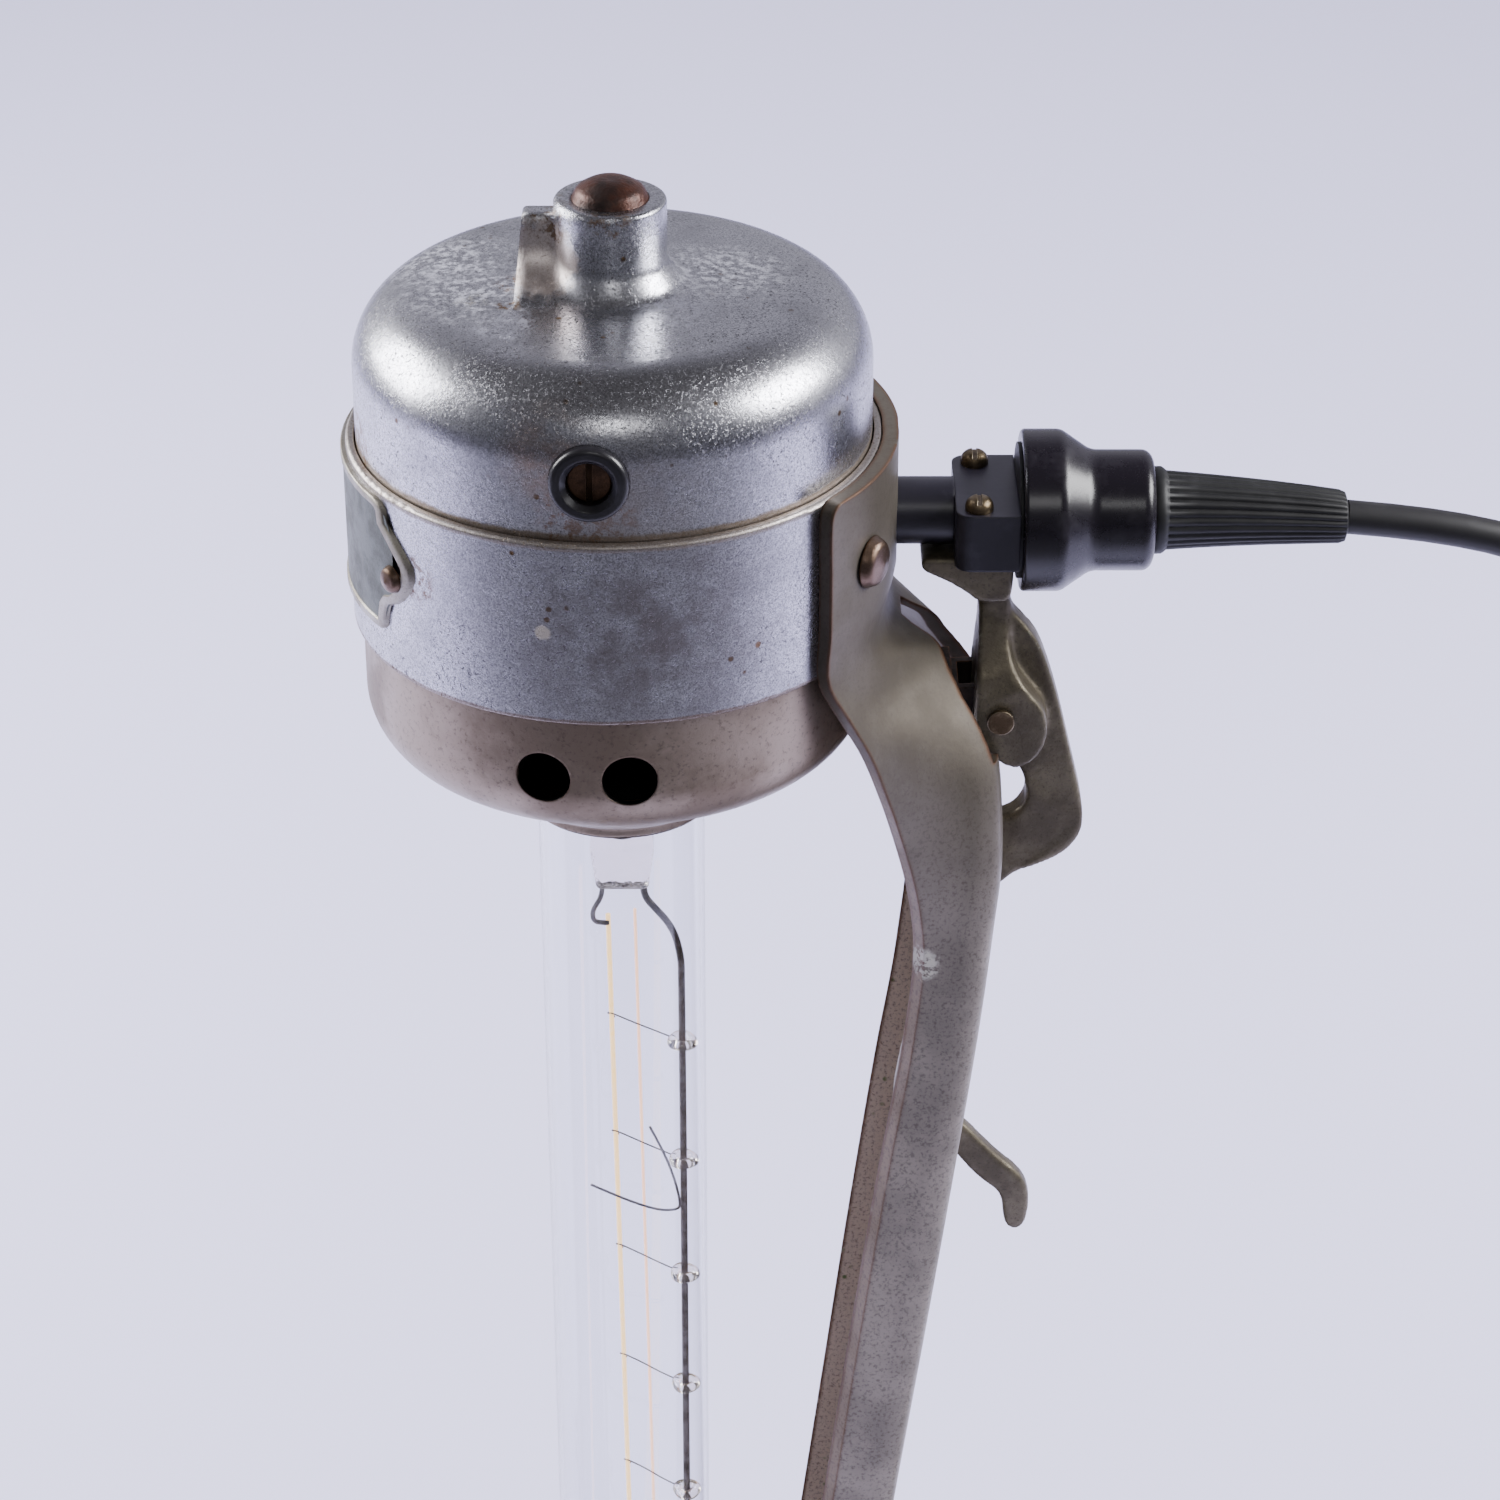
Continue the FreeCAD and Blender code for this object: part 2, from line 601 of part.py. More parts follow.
def smoothed(rows):
    """Add sections in each gap where the column still changes shape."""
    full = []
    for i, (here, ahead) in enumerate(zip(rows, rows[1:])):
        full.append(here)
        four = (rows[max(i - 1, 0)], here, ahead, rows[min(i + 2, len(rows) - 1)])
        full += [between(four, part) for part in (1 / 3, 2 / 3)]
    return full + [rows[-1]]


def column_sections():
    """Sections down to the foot, where the channel runs on straight at its lean."""
    wall = value("column_wall")
    outer = saddle_points(0)
    inner = saddle_points(value("column_radius - column_bore"))
    wires = [section_wire(outer, inner, -1)]
    rows = smoothed(COLUMN_SECTIONS)
    last = rows[-1]
    drop = last[0] - value("column_foot_z")
    shift = drop * math.tan(math.radians(value("column_lean")))
    rows.append((value("column_foot_z"), last[1] - shift, last[2], last[3] - shift, last[4], last[5]))
    for height, lead_x, lead_y, back_x, back_y, bend in rows:
        outer = channel_points((lead_x, lead_y), (back_x, back_y), bend, 0)
        inner = channel_points((lead_x, lead_y), (back_x, back_y), bend, wall)
        wires.append(section_wire(outer, inner, height))
    return wires


def yoke_column():
    """One pressed piece: saddle on the shell, then a channel open towards the lamp."""
    channel = made(Part.makeLoft(column_sections(), True, True, False))
    sector = padded((((
        ("0", "0"),
        ("column_radius * 2", "-column_radius * 2 * tan(%s)" % degrees("column_angle")),
        ("column_radius * 2", "column_radius * 2 * tan(%s)" % degrees("column_angle")),
    ), "column_top_z * 3"),), XY)
    saddle = common(
        common(sector, turned((
            ("column_bore", "-1"),
            ("column_radius", "-1"),
            ("column_radius", "column_top_z"),
            ("column_bore", "column_top_z"),
        ))),
        padded((((
            ("-sin(%s) * column_radius" % degrees("column_angle"), "-1"),
            ("sin(%s) * column_radius" % degrees("column_angle"), "-1"),
            ("sin(%s) * column_radius" % degrees("column_angle"), "column_top_z", "3"),
            ("-sin(%s) * column_radius" % degrees("column_angle"), "column_top_z", "3"),
        ), "column_radius * 2 - 5"),), YZ, x="column_radius"))
    opening = padded((((
        ("0", "6"),
        ("-5.9", "-7.5"),
        ("-11.2", "-15.5"),
        ("-15", "-27.5", "1"),
        ("-10.5", "-28", "1"),
        ("-10", "-34", "2"),
        ("10", "-34", "2"),
        ("10.5", "-28", "1"),
        ("15", "-27.5", "1"),
        ("11.2", "-15.5"),
        ("5.9", "-7.5"),
    ), "40"),), YZ, x="70")
    loop_slot = block("20", "web_half * 2 + 1.2", "25", "72", "0", "head_height - 66.5")
    finger_slot = block("20", "arm_half * 2 + 1.4", "18", "66", "0", "head_height - 129.5")
    holes = [radial_hole("inlet_radius", "0", "inlet_z")]
    for side in ("rivet_angle", "-rivet_angle"):
        holes.append(radial_hole("rivet_radius", side, "rivet_z"))
    holes += foot_drills("2")
    node(cut(joined([channel, saddle]), [opening, loop_slot, finger_slot] + holes), "yoke_column")


def yoke_rivets():
    rivets = [turned((
        ("shell_radius - shell_wall - 1", "0"),
        ("shell_radius - shell_wall - 1", "rivet_radius + 1.2", "0.4"),
        ("shell_radius - shell_wall - 0.2", "rivet_radius + 1.2"),
        ("shell_radius - shell_wall - 0.2", "rivet_radius"),
        ("column_radius + 0.2", "rivet_radius"),
        ("column_radius + 0.2", "rivet_head"),
        ("column_radius + rivet_dome * 0.8", "rivet_head * 0.8", "1.6"),
        ("column_radius + rivet_dome + 0.1", "0"),
    ), "H_Axis", "head_height + rivet_z", turned_to(side)) for side in ("rivet_angle", "-rivet_angle")]
    node(group(rivets), "yoke_rivets")


# ---- inlet, terminal block and plug ----

def inlet_tube():
    node(turned((
        ("inlet_start", "inlet_bore"),
        ("inlet_start", "inlet_flange"),
        ("inlet_start + 1.5", "inlet_flange"),
        ("inlet_start + 1.5", "inlet_radius - 0.02"),
        ("block_start", "inlet_radius - 0.02"),
        ("block_start", "inlet_bore"),
    ), "H_Axis", "head_height + inlet_z"), "inlet_tube_blank")


def terminal_block():
    """Block across the tube's end: bored for the wires, with its two cover screws and two pins."""
    body = padded((((
        ("block_start", "-block_half_width", "block_round"),
        ("block_end", "-block_half_width"),
        ("block_end", "block_half_width"),
        ("block_start", "block_half_width", "block_round"),
    ), "block_high_z - block_low_z"),), XY, "head_height + (block_high_z + block_low_z) / 2")
    tools = [rod("inlet_bore", "block_end - block_start - 3", "block_start - 1", "0",
                 "head_height + inlet_z", ALONG_X)]
    for side in ("block_screw_y", "-block_screw_y"):
        tools.append(rod("1.4", "10", "block_screw_x", side, "head_height + block_high_z - 6"))
    for side in ("pin_y", "-pin_y"):
        tools.append(rod("pin_radius", "10", "block_end - 5", side, "head_height + inlet_z", ALONG_X))
    node(cut(body, tools), "terminal_block")
    screws = []
    for side in ("block_screw_y", "-block_screw_y"):
        screw = turned((
            ("0", "block_high_z - 6"),
            ("1.4", "block_high_z - 6"),
            ("1.4", "block_high_z"),
            ("block_screw_radius", "block_high_z"),
            ("block_screw_radius", "block_high_z + 2.4", "2"),
            ("0", "block_high_z + 2.6"),
        ), x="block_screw_x", y=side)
        slot = block("0.8", "8", "2", "block_screw_x", side, "head_height + block_high_z + 1.7")
        screws.append(cut(screw, [slot]))
    node(group(screws), "terminal_screws")
    pins = [turned((
        ("block_end - 5", "0"),
        ("block_end - 5", "pin_radius"),
        ("pin_end", "pin_radius", "1"),
        ("pin_end", "0"),
    ), "H_Axis", "head_height + inlet_z", y=side) for side in ("pin_y", "-pin_y")]
    node(group(pins), "connector_pins")
    gasket = rod("plug_radius - 2.4", "gasket_end - block_end", "block_end", "0", "head_height + inlet_z",
                 ALONG_X)
    node(cut(gasket, pin_drills()), "block_cover_plate")


def pin_drills():
    return [rod("pin_radius", "60", "block_end - 5", side, "head_height + inlet_z", ALONG_X)
            for side in ("pin_y", "-pin_y")]


def plug():
    """Moulded connector on the inlet: outer cap, the insert that takes the pins, and its relief."""
    node(turned((
        ("gasket_end", "plug_cavity"),
        ("gasket_end", "plug_radius", "0.8"),
        ("plug_step", "plug_radius", "3"),
        ("barrel_start", "barrel_radius", "4"),
        ("barrel_end", "barrel_radius", "2.2"),
        ("barrel_end", "lead_radius + 0.02"),
        ("barrel_end - 3", "lead_radius + 0.02"),
        ("barrel_end - 3", "plug_cavity"),
    ), "H_Axis", "head_height + inlet_z"), "plug_cap")
    insert = rod("plug_cavity - 0.02", "14.6", "gasket_end", "0", "head_height + inlet_z", ALONG_X)
    node(cut(insert, pin_drills()), "plug_insert")
    node(turned((
        ("barrel_end", "lead_radius + 0.02"),
        ("barrel_end", "relief_flange", "0.5"),
        ("relief_start", "relief_flange", "0.5"),
        ("relief_mid", "6.4", "60"),
        ("relief_end", "4.4", "0.6"),
        ("relief_end", "lead_radius + 0.02"),
    ), "H_Axis", "head_height + inlet_z"), "strain_relief")


# ---- switch lever ----

def lever_outlines():
    """Cradle, web with its finger loop, ears, and the long arm with its hook, in side view."""
    cradle = (
        ("56.3", "8.8", "0.6"),
        ("64.7", "4.9", "4"),
        ("66.6", "3"),
        ("72.9", "3"),
        ("72.8", "5.2"),
        ("73.6", "5.8", "0.4"),
        ("73.6", "11.3", "0.5"),
        ("56.4", "11.3", "0.5"),
    )
    web = (
        ("66.4", "5.5"),
        ("67.5", "-1.5", "6"),
        ("66.7", "-12", "4"),
        ("66.6", "-22", "3"),
        ("68", "-28.5", "2"),
        ("74.6", "-34", "1.5"),
        ("77", "-36.4", "1.2"),
        ("78", "-43", "2.5"),
        ("74.8", "-46.6", "2"),
        ("70.6", "-47", "1"),
        ("65", "-50", "3"),
        ("61.4", "-61"),
        ("64.6", "-63.4"),
        ("72.8", "-63.1", "1.5"),
        ("76", "-59.1", "3"),
        ("82.2", "-56.9", "5"),
        ("89.1", "-51.5", "5"),
        ("86.9", "-36.9", "30"),
        ("80.6", "-12.9", "12"),
        ("77.8", "-6.3", "3"),
        ("73.5", "-3", "2"),
        ("72.9", "5.5"),
    )
    ears = (
        ("67.6", "-9.5"),
        ("67.2", "-16.8", "5"),
        ("66.4", "-20.5", "4"),
        ("66.8", "-26.2", "2.5"),
        ("73.4", "-32.4", "2"),
        ("76.6", "-32.6", "1"),
        ("81", "-27.6", "4"),
        ("80.4", "-18.4", "4"),
        ("74.2", "-12.2", "5"),
        ("72", "-9.5"),
    )
    arm = (
        ("60.8", "-52"),
        ("60", "-63", "20"),
        ("57.2", "-88", "40"),
        ("53.2", "-113", "10"),
        ("54.4", "-119.6", "2.5"),
        ("63.6", "-122.8", "4"),
        ("71", "-133", "10"),
        ("76.1", "-136.4", "2"),
        ("76.7", "-145.7", "1"),
        ("81.3", "-145.7", "1"),
        ("81.9", "-134", "4"),
        ("73.8", "-126.6", "6"),
        ("67", "-118.2", "5"),
        ("56.4", "-112.6", "2.5"),
        ("60.6", "-88", "40"),
        ("64.4", "-62.5", "20"),
        ("65", "-52"),
    )
    return cradle, web, ears, arm


def switch_lever():
    """Cast lever, slotted round the pin for its bracket's cheeks and spring."""
    cradle, web, ears, arm = lever_outlines()
    blank = padded(((web, "web_half * 2"), (cradle, "14"), (ears, "ear_face * 2"), (arm, "arm_half * 2")))
    tools = [rod("pivot_radius + running_gap", "40", "pivot_x", "-20", "head_height + pivot_z", ALONG_Y)]
    for side in (-1, 1):
        middle = "%d * (cheek_outer + cheek_inner) / 2" % side
        width = "cheek_outer - cheek_inner + 0.5"
        tools.append(rod("cheek_radius + 0.6", width, "pivot_x", "%s - (%s) / 2" % (middle, width),
                         "head_height + pivot_z", ALONG_Y))
        tools.append(block("18", width, "2 * cheek_radius + 4", "pivot_x - 9", middle,
                           "head_height + pivot_z - cheek_radius - 2"))
    tools.append(rod("spring_radius + 1.3", "spring_length + 0.6", "pivot_x", "-spring_length / 2 - 0.3",
                     "head_height + pivot_z", ALONG_Y))
    tools.append(block("18", "spring_length + 0.6", "2 * spring_radius + 2.6", "pivot_x - 9", "0",
                       "head_height + pivot_z - spring_radius - 1.3"))
    node(cut(blank, tools), "switch_lever")


def pivot_parts():
    """Bracket brazed inside the channel, the riveted pin through its cheeks, and the coiled spring."""
    cheeks = padded((((
        ("60", "-16.5"),
        ("pivot_x + cheek_radius", "pivot_z + cheek_radius", "cheek_radius - 0.4"),
        ("pivot_x + cheek_radius", "pivot_z - cheek_radius", "cheek_radius - 0.4"),
        ("64", "-27.7"),
        ("60", "-24"),
    ), "cheek_outer * 2"),))
    gap = block("24", "cheek_inner * 2", "30", "76", "0", "head_height - 40")
    flange = padded((((
        ("58", "-14"),
        ("62.6", "-14"),
        ("64", "-27.7"),
        ("68.1", "-36", "2"),
        ("68.4", "-39.5"),
        ("66.2", "-39.5"),
        ("60", "-30", "3"),
        ("58", "-24", "2"),
    ), "cheek_outer * 2"),))
    bracket = cut(joined([cut(cheeks, [gap]), flange]), [
        rod("pivot_radius", "40", "pivot_x", "-20", "head_height + pivot_z", ALONG_Y)])
    node(bracket, "pivot_bracket")
    pin = joined([
        rod("pivot_radius", "ear_face * 2 + 0.6", "pivot_x", "-ear_face - 0.3", "head_height + pivot_z",
            ALONG_Y),
        rod("pivot_radius + 0.5", "1", "pivot_x", "ear_face + 0.25", "head_height + pivot_z", ALONG_Y),
        rod("pivot_radius + 0.5", "1", "pivot_x", "-ear_face - 1.25", "head_height + pivot_z", ALONG_Y),
    ])
    node(pin, "pivot_pin")
    pitch = value("spring_length - 2 * spring_wire") / 4
    path = Part.makeHelix(pitch, pitch * 4, value("spring_radius"))
    ring = Part.Wire(Part.Circle(FreeCAD.Vector(value("spring_radius"), 0, 0), FreeCAD.Vector(0, 1, 0),
                                 value("spring_wire")).toShape())
    coil = Part.Wire(path.Edges).makePipeShell([ring], True, True)
    spring = doc.addObject("Part::Feature", "Spring")
    spring.Shape = coil
    seat(spring, "pivot_x", "-spring_length / 2 + spring_wire", "head_height + pivot_z", ALONG_Y)
    node(spring, "return_spring")


def switch_plunger():
    """Button of the switch inside the inlet tube, resting just over the lever's cradle."""
    node(turned((
        ("0", "plunger_low_z"),
        ("plunger_radius", "plunger_low_z", "1"),
        ("plunger_radius", "plunger_top_z - 1"),
        ("plunger_radius + 1.2", "plunger_top_z - 1"),
        ("plunger_radius + 1.2", "plunger_top_z"),
        ("0", "plunger_top_z"),
    ), x="plunger_x"), "switch_plunger")
    blank = [item for item in nodes if item.Label == "inlet_tube_blank"][0]
    nodes.remove(blank)
    hole = rod("plunger_radius + running_gap", "8", "plunger_x", "0", "head_height + inlet_z - 9")
    node(cut(blank, [hole]), "inlet_tube")


# ---- lamp ----

def lamp_glass():
    node(turned((
        ("0", "lamp_tip_z"),
        ("lamp_radius", "lamp_tip_z", "lamp_radius - 2"),
        ("lamp_radius", "shoulder_z", "8"),
        ("neck_radius", "neck_z - 6", "5"),
        ("neck_radius", "neck_z + 5"),
        ("neck_radius - glass_wall", "neck_z + 5"),
        ("neck_radius - glass_wall", "neck_z - 5.6", "5"),
        ("lamp_radius - glass_wall", "shoulder_z + 0.4", "8"),
        ("lamp_radius - glass_wall", "lamp_tip_z + glass_wall", "lamp_radius - glass_wall - 2"),
        ("0", "lamp_tip_z + glass_wall"),
    )), "glass_tube")


def lamp_cap():
    """Screw cap of the lamp: ringed shell, insulator and centre contact."""
    threads = []
    for turn in range(5):
        low = "neck_z + 5 + %d * 2.6" % turn
        threads.append(("cap_shell_radius - 0.8", low, "0.5"))
        threads.append(("cap_shell_radius", low + " + 1.3", "0.5"))
    node(turned([
        ("neck_radius + 0.05", "neck_z - 2"),
        ("cap_shell_radius - 0.4", "neck_z - 2"),
    ] + threads + [
        ("cap_shell_radius - 0.8", "cap_shell_top_z"),
        ("neck_radius - 0.4", "cap_shell_top_z"),
        ("neck_radius - 0.4", "neck_z + 5.2"),
        ("neck_radius + 0.05", "neck_z + 5.2"),
    ]), "lamp_cap_shell")
    node(turned((
        ("0", "cap_shell_top_z - 3"),
        ("neck_radius - 0.42", "cap_shell_top_z - 3"),
        ("neck_radius - 0.42", "cap_shell_top_z", "0.3"),
        ("4.6", "contact_z - 1"),
        ("0", "contact_z - 1"),
    )), "lamp_cap_insulator")
    node(turned((
        ("0", "contact_z - 1"),
        ("4.4", "contact_z - 1"),
        ("3.6", "contact_z", "0.6"),
        ("0", "contact_z"),
    )), "lamp_contact")


def lamp_stem():
    """Flared glass tube inside the neck, pinched flat round the lead wires."""
    flare = turned((
        ("0", "neck_z"),
        ("neck_radius - glass_wall - 0.1", "neck_z", "0.5"),
        ("5.5", "neck_z - 12", "6"),
        ("3.4", "-40", "4"),
        ("3.4", "press_low_z + 12"),
        ("0", "press_low_z + 12"),
    ))
    press = padded((((
        ("-5", "press_low_z", "1.2"),
        ("5", "press_low_z", "1.2"),
        ("6.2", "press_low_z + 9", "3"),
        ("5.2", "press_low_z + 18", "2"),
        ("3", "press_low_z + 26", "2"),
        ("-3", "press_low_z + 26", "2"),
        ("-5.2", "press_low_z + 18", "2"),
        ("-6.2", "press_low_z + 9", "3"),
    ), "4.4"),))
    node(joined([flare, press]), "glass_stem")


def lamp_wires():
    """Support wire with its beads, hooks and anchor springs, the short lead, and two filaments."""
    wire_x, wire_y, radius = value("wire_x"), value("wire_y"), value("wire_radius")
    low = value("press_low_z")
    stop = value("filament_low_z") - 6
    route = ((3.9, 0, low), (4.3, -0.4, low - 3), (9.6, -2.4, low - 8.5), (wire_x, wire_y, low - 15),
             (wire_x + 0.05, wire_y, low - 60), (wire_x, wire_y, low - 120), (wire_x + 0.05, wire_y, stop))
    support = piped(route, radius)[0]
    node(made(support), "support_wire")
    lead = piped(((-3.9, 0, low), (-4.3, 0.5, low - 3.5), (-6.2, 1.6, low - 7.5), (-6, 3.2, low - 11),
                  (-3.2, 4.4, low - 12)), 0.5)[0]
    node(made(lead), "lead_in_wire")
    beads = []
    hooks = []
    filament = FreeCAD.Vector(value("filament_x"), value("filament_y"), value("filament_top_z"))
    run = FreeCAD.Vector(value("filament_lean"), 0, value("filament_low_z") - value("filament_top_z"))
    outer = value("bead_ring") + value("bead_radius")
    for number in range(int(value("bead_count"))):
        height = value("bead_top_z") - number * value("bead_pitch")
        middle = FreeCAD.Vector(wire_x, wire_y, height)
        beads.append(Part.makeTorus(value("bead_ring"), value("bead_radius"), middle))
        start = middle - FreeCAD.Vector(outer * 0.99, 0, 0)
        reach = filament + run * ((height - filament.z) / run.z) - start
        hooks.append(Part.makeCylinder(0.15, reach.Length - 0.75, start - reach.normalize() * -0.3, reach))
    node(made(Part.makeCompound(beads)), "glass_beads")
    node(made(Part.makeCompound(hooks)), "filament_hooks")
    threads = []
    for start in (filament, FreeCAD.Vector(value("second_x"), filament.y + 2, filament.z)):
        threads.append(Part.makeCylinder(value("filament_radius"), run.Length, start, run))
    node(made(Part.makeCompound(threads)), "filaments")
    anchor = value("bead_top_z") - 1.4 * value("bead_pitch")
    springs = []
    for end in ((-7.4, -4.6, anchor + 6.3), (4.7, -6.6, anchor + 22)):
        start = FreeCAD.Vector(wire_x - radius - 0.05, wire_y - 0.5, anchor)
        reach = FreeCAD.Vector(*end) - start
        springs.append(Part.makeCylinder(0.25, reach.Length, start, reach))
    node(made(springs[0].fuse(springs[1])), "anchor_springs")


# ---- base ----

def base():
    """Spun cover over a cast weight, a felt underneath, and a bolt up into the column's foot."""
    cover = turned((
        ("0", "base_top_z - base_wall"),
        ("base_step_radius - 2", "base_top_z - base_wall"),
        ("base_step_radius + 1", "base_top_z - base_wall - 2.4", "2"),
        ("base_radius - base_wall", "base_top_z - base_wall - 3", "2.5"),
        ("base_radius - base_wall", "felt_thickness"),
        ("base_radius", "felt_thickness"),
        ("base_radius", "base_top_z - 3", "4"),
        ("base_step_radius + 2", "base_top_z - 2.4", "2"),
        ("base_step_radius - 1", "base_top_z", "1"),
        ("0", "base_top_z"),
    ), z="0")
    bolt_hole = rod("3", "30", "34", "0", "0")
    node(cut(cover, [bolt_hole]), "base_cover")
    weight = turned((
        ("0", "felt_thickness"),
        ("base_radius - base_wall - 0.5", "felt_thickness", "0.5"),
        ("base_radius - base_wall - 0.5", "felt_thickness + 5", "2"),
        ("base_step_radius - 3", "felt_thickness + 5.4"),
        ("base_step_radius - 3", "base_top_z - base_wall"),
        ("0", "base_top_z - base_wall"),
    ), z="0")
    head_hole = rod("6.2", "4.5", "34", "0", "felt_thickness - 0.01")
    node(cut(weight, [rod("3", "30", "34", "0", "0"), head_hole]), "base_weight")
    node(rod("felt_radius", "felt_thickness", z="0"), "felt_pad")
    bolt = joined([rod("6", "4", "34", "0", "felt_thickness + 0.4"), rod("3", "16", "34", "0", "felt_thickness + 2")])
    node(bolt, "base_bolt")


def foot_drills(radius):
    """Two drills square to the leaning back of the column at its foot."""
    lean = FreeCAD.Rotation(FreeCAD.Vector(0, 1, 0), 90 + value("column_lean"))
    return [rod(radius, "30", x, "0", "head_height + " + z, lean)
            for x, z in (("27.69", "-298.2"), ("29.6", "-282.2"))]


def column_foot():
    """Cast wedge that fills the channel's foot, held by two screws through its back."""
    wedge = padded((((
        ("29", "column_foot_z"),
        ("38.5", "column_foot_z"),
        ("43.4", "column_foot_z + 42", "2"),
        ("34", "column_foot_z + 42", "3"),
    ), "foot_half_width * 2"),))
    bolt_hole = rod("3", "10", "34", "0", "base_top_z - 1")
    node(cut(wedge, foot_drills("2") + [bolt_hole]), "column_foot")
    screws = []
    for drill in foot_drills("2"):
        direction = drill.Placement.Rotation.multVec(FreeCAD.Vector(0, 0, 1))
        start = drill.Placement.Base
        shank = Part.makeCylinder(2, 16.4, start + direction * 1, direction)
        head = Part.makeSphere(5.2, start + direction * 12.4)
        clip = Part.makeCylinder(4.4, 6, start + direction * 16.0, direction)
        screws.append(shank.fuse(head.common(clip)))
    node(made(Part.makeCompound(screws), "0"), "foot_screws")


# ---- lead ----

def lead():
    """Free lead to a neat coil on the table, a short tail and the mains plug."""
    tube, length, tightest = piped(LEAD_ROUTE, value("lead_radius"))
    node(made(tube, "0"), "lead_cord")
    tail, tail_length, tail_bend = piped(TAIL_ROUTE, value("lead_radius"))
    node(made(tail, "0"), "lead_tail")
    print("lead %.0f mm, radii %.0f and %.0f mm, tail %.0f mm" % (length, tightest, tail_bend, tail_length))
    node(turned((
        ("coil_middle - lead_radius * 3", "0", "2.5"),
        ("coil_middle + lead_radius * 3", "0", "2.5"),
        ("coil_middle + lead_radius * 3", "lead_radius * 2", "2.5"),
        ("coil_middle + lead_radius", "17.8", "2"),
        ("coil_middle - lead_radius", "17.8", "2"),
        ("coil_middle - lead_radius * 3", "lead_radius * 2", "2.5"),
    ), z="0", x="coil_x", y="coil_y"), "cord_coil")


def mains_plug():
    """Flat two-blade plug lying beside the coil, at the end of the tail."""
    body = padded((((
        ("-5", "mains_y"),
        ("5", "mains_y"),
        ("12", "mains_y + 10", "4"),
        ("12", "mains_y + 28", "2"),
        ("-12", "mains_y + 28", "2"),
        ("-12", "mains_y + 10", "4"),
    ), "15.2"),), XY, "7.6", "108.4")
    slots = [block("1.6", "10", "6.4", side, "mains_y + 25", "4.4") for side in ("102.05", "114.75")]
    node(cut(body, slots), "mains_plug")
    blades = [block("1.56", "24", "6.36", side, "mains_y + 32", "4.42") for side in ("102.05", "114.75")]
    node(group(blades), "mains_plug_blades")


def check_all():
    """Stop on any object that failed, and on any empty or invalid sub-part."""
    doc.recompute()
    for item in doc.Objects:
        assert not {"Invalid", "Error"} & set(item.State), "%s failed: %s" % (item.Label, item.State)
    for item in nodes:
        assert not item.Shape.isNull() and item.Shape.isValid(), item.Label + " has no valid shape"
        assert item.Shape.Solids, item.Label + " has no solid"


def build():
    fill_sheet()
    top_cap()
    boss_plug()
    brush_holders()
    body_shell()
    name_plate()
    lower_cover()
    lamp_collar()
    lampholder()
    internal_leads()
    yoke_column()
    yoke_rivets()
    inlet_tube()
    terminal_block()
    plug()
    switch_lever()
    pivot_parts()
    switch_plunger()
    lamp_glass()
    lamp_cap()
    lamp_stem()
    lamp_wires()
    base()
    column_foot()
    lead()
    mains_plug()
    check_all()
    os.makedirs("parts", exist_ok=True)
    for item in nodes:
        item.Shape.exportStep("parts/%s.step" % item.Label)
        print("%-22s %2d solid(s) %9.0f mm3" % (item.Label, len(item.Shape.Solids), item.Shape.Volume))


build()
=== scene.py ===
import math

import bmesh
import bpy
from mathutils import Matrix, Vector


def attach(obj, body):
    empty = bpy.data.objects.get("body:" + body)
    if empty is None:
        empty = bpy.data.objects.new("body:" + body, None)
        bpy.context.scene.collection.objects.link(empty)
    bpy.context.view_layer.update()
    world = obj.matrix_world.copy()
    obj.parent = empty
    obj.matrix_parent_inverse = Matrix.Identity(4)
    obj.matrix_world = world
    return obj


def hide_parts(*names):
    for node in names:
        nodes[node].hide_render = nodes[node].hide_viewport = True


# Looks of the motor-head table lamp.  Metres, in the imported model's frame: the origin is on the table
# under the lamp's axis, +X runs to the column and the plug, and HEAD is the housing's lower edge.

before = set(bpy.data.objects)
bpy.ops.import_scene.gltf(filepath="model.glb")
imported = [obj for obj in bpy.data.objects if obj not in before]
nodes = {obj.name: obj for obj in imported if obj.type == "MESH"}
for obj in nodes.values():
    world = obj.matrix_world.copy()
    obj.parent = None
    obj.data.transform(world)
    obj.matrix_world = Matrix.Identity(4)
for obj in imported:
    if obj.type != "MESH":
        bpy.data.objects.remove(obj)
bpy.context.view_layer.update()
HEAD = 0.325
PLUG_Z = HEAD + 0.018
CAMERA_TILT = 30.0855
FLOOR_Z = -0.0002


def link(item):
    bpy.context.scene.collection.objects.link(item)
    return item


# ---- camera and lead ----

def camera():
    data = bpy.data.cameras.new("camera")
    data.lens = 95.773
    data.sensor_width = 36
    data.clip_start = 0.05
    data.clip_end = 60
    item = link(bpy.data.objects.new("camera", data))
    item.location = (0.02478, -0.65984, 0.67402)
    item.rotation_euler = (math.radians(90 - CAMERA_TILT), 0, 0)
    bpy.context.scene.camera = item


LEAD_DIAMETER = 0.0065
RELIEF_END = (0.135, 0, 0.3416)
ROUTE = (
    RELIEF_END, (0.160, 0, 0.3395), (0.182, 0.001, 0.329), (0.196, 0.004, 0.307), (0.202, 0.009, 0.275),
    (0.204, 0.017, 0.228), (0.205, 0.027, 0.172), (0.206, 0.037, 0.118), (0.2058, 0.043, 0.072),
    (0.2025, 0.036, 0.042), (0.197, 0.021, 0.029), (0.1915, 0.006, 0.0245), (0.1868, -0.007, 0.0205),
)
TAIL = ((0.1078, -0.004, 0.0036), (0.1077, 0.008, 0.0052), (0.1084, 0.022, 0.0076))
COIL = (0.150, -0.010)
COIL_STEP, SPLINE_SHRINK = 22.5, 0.987
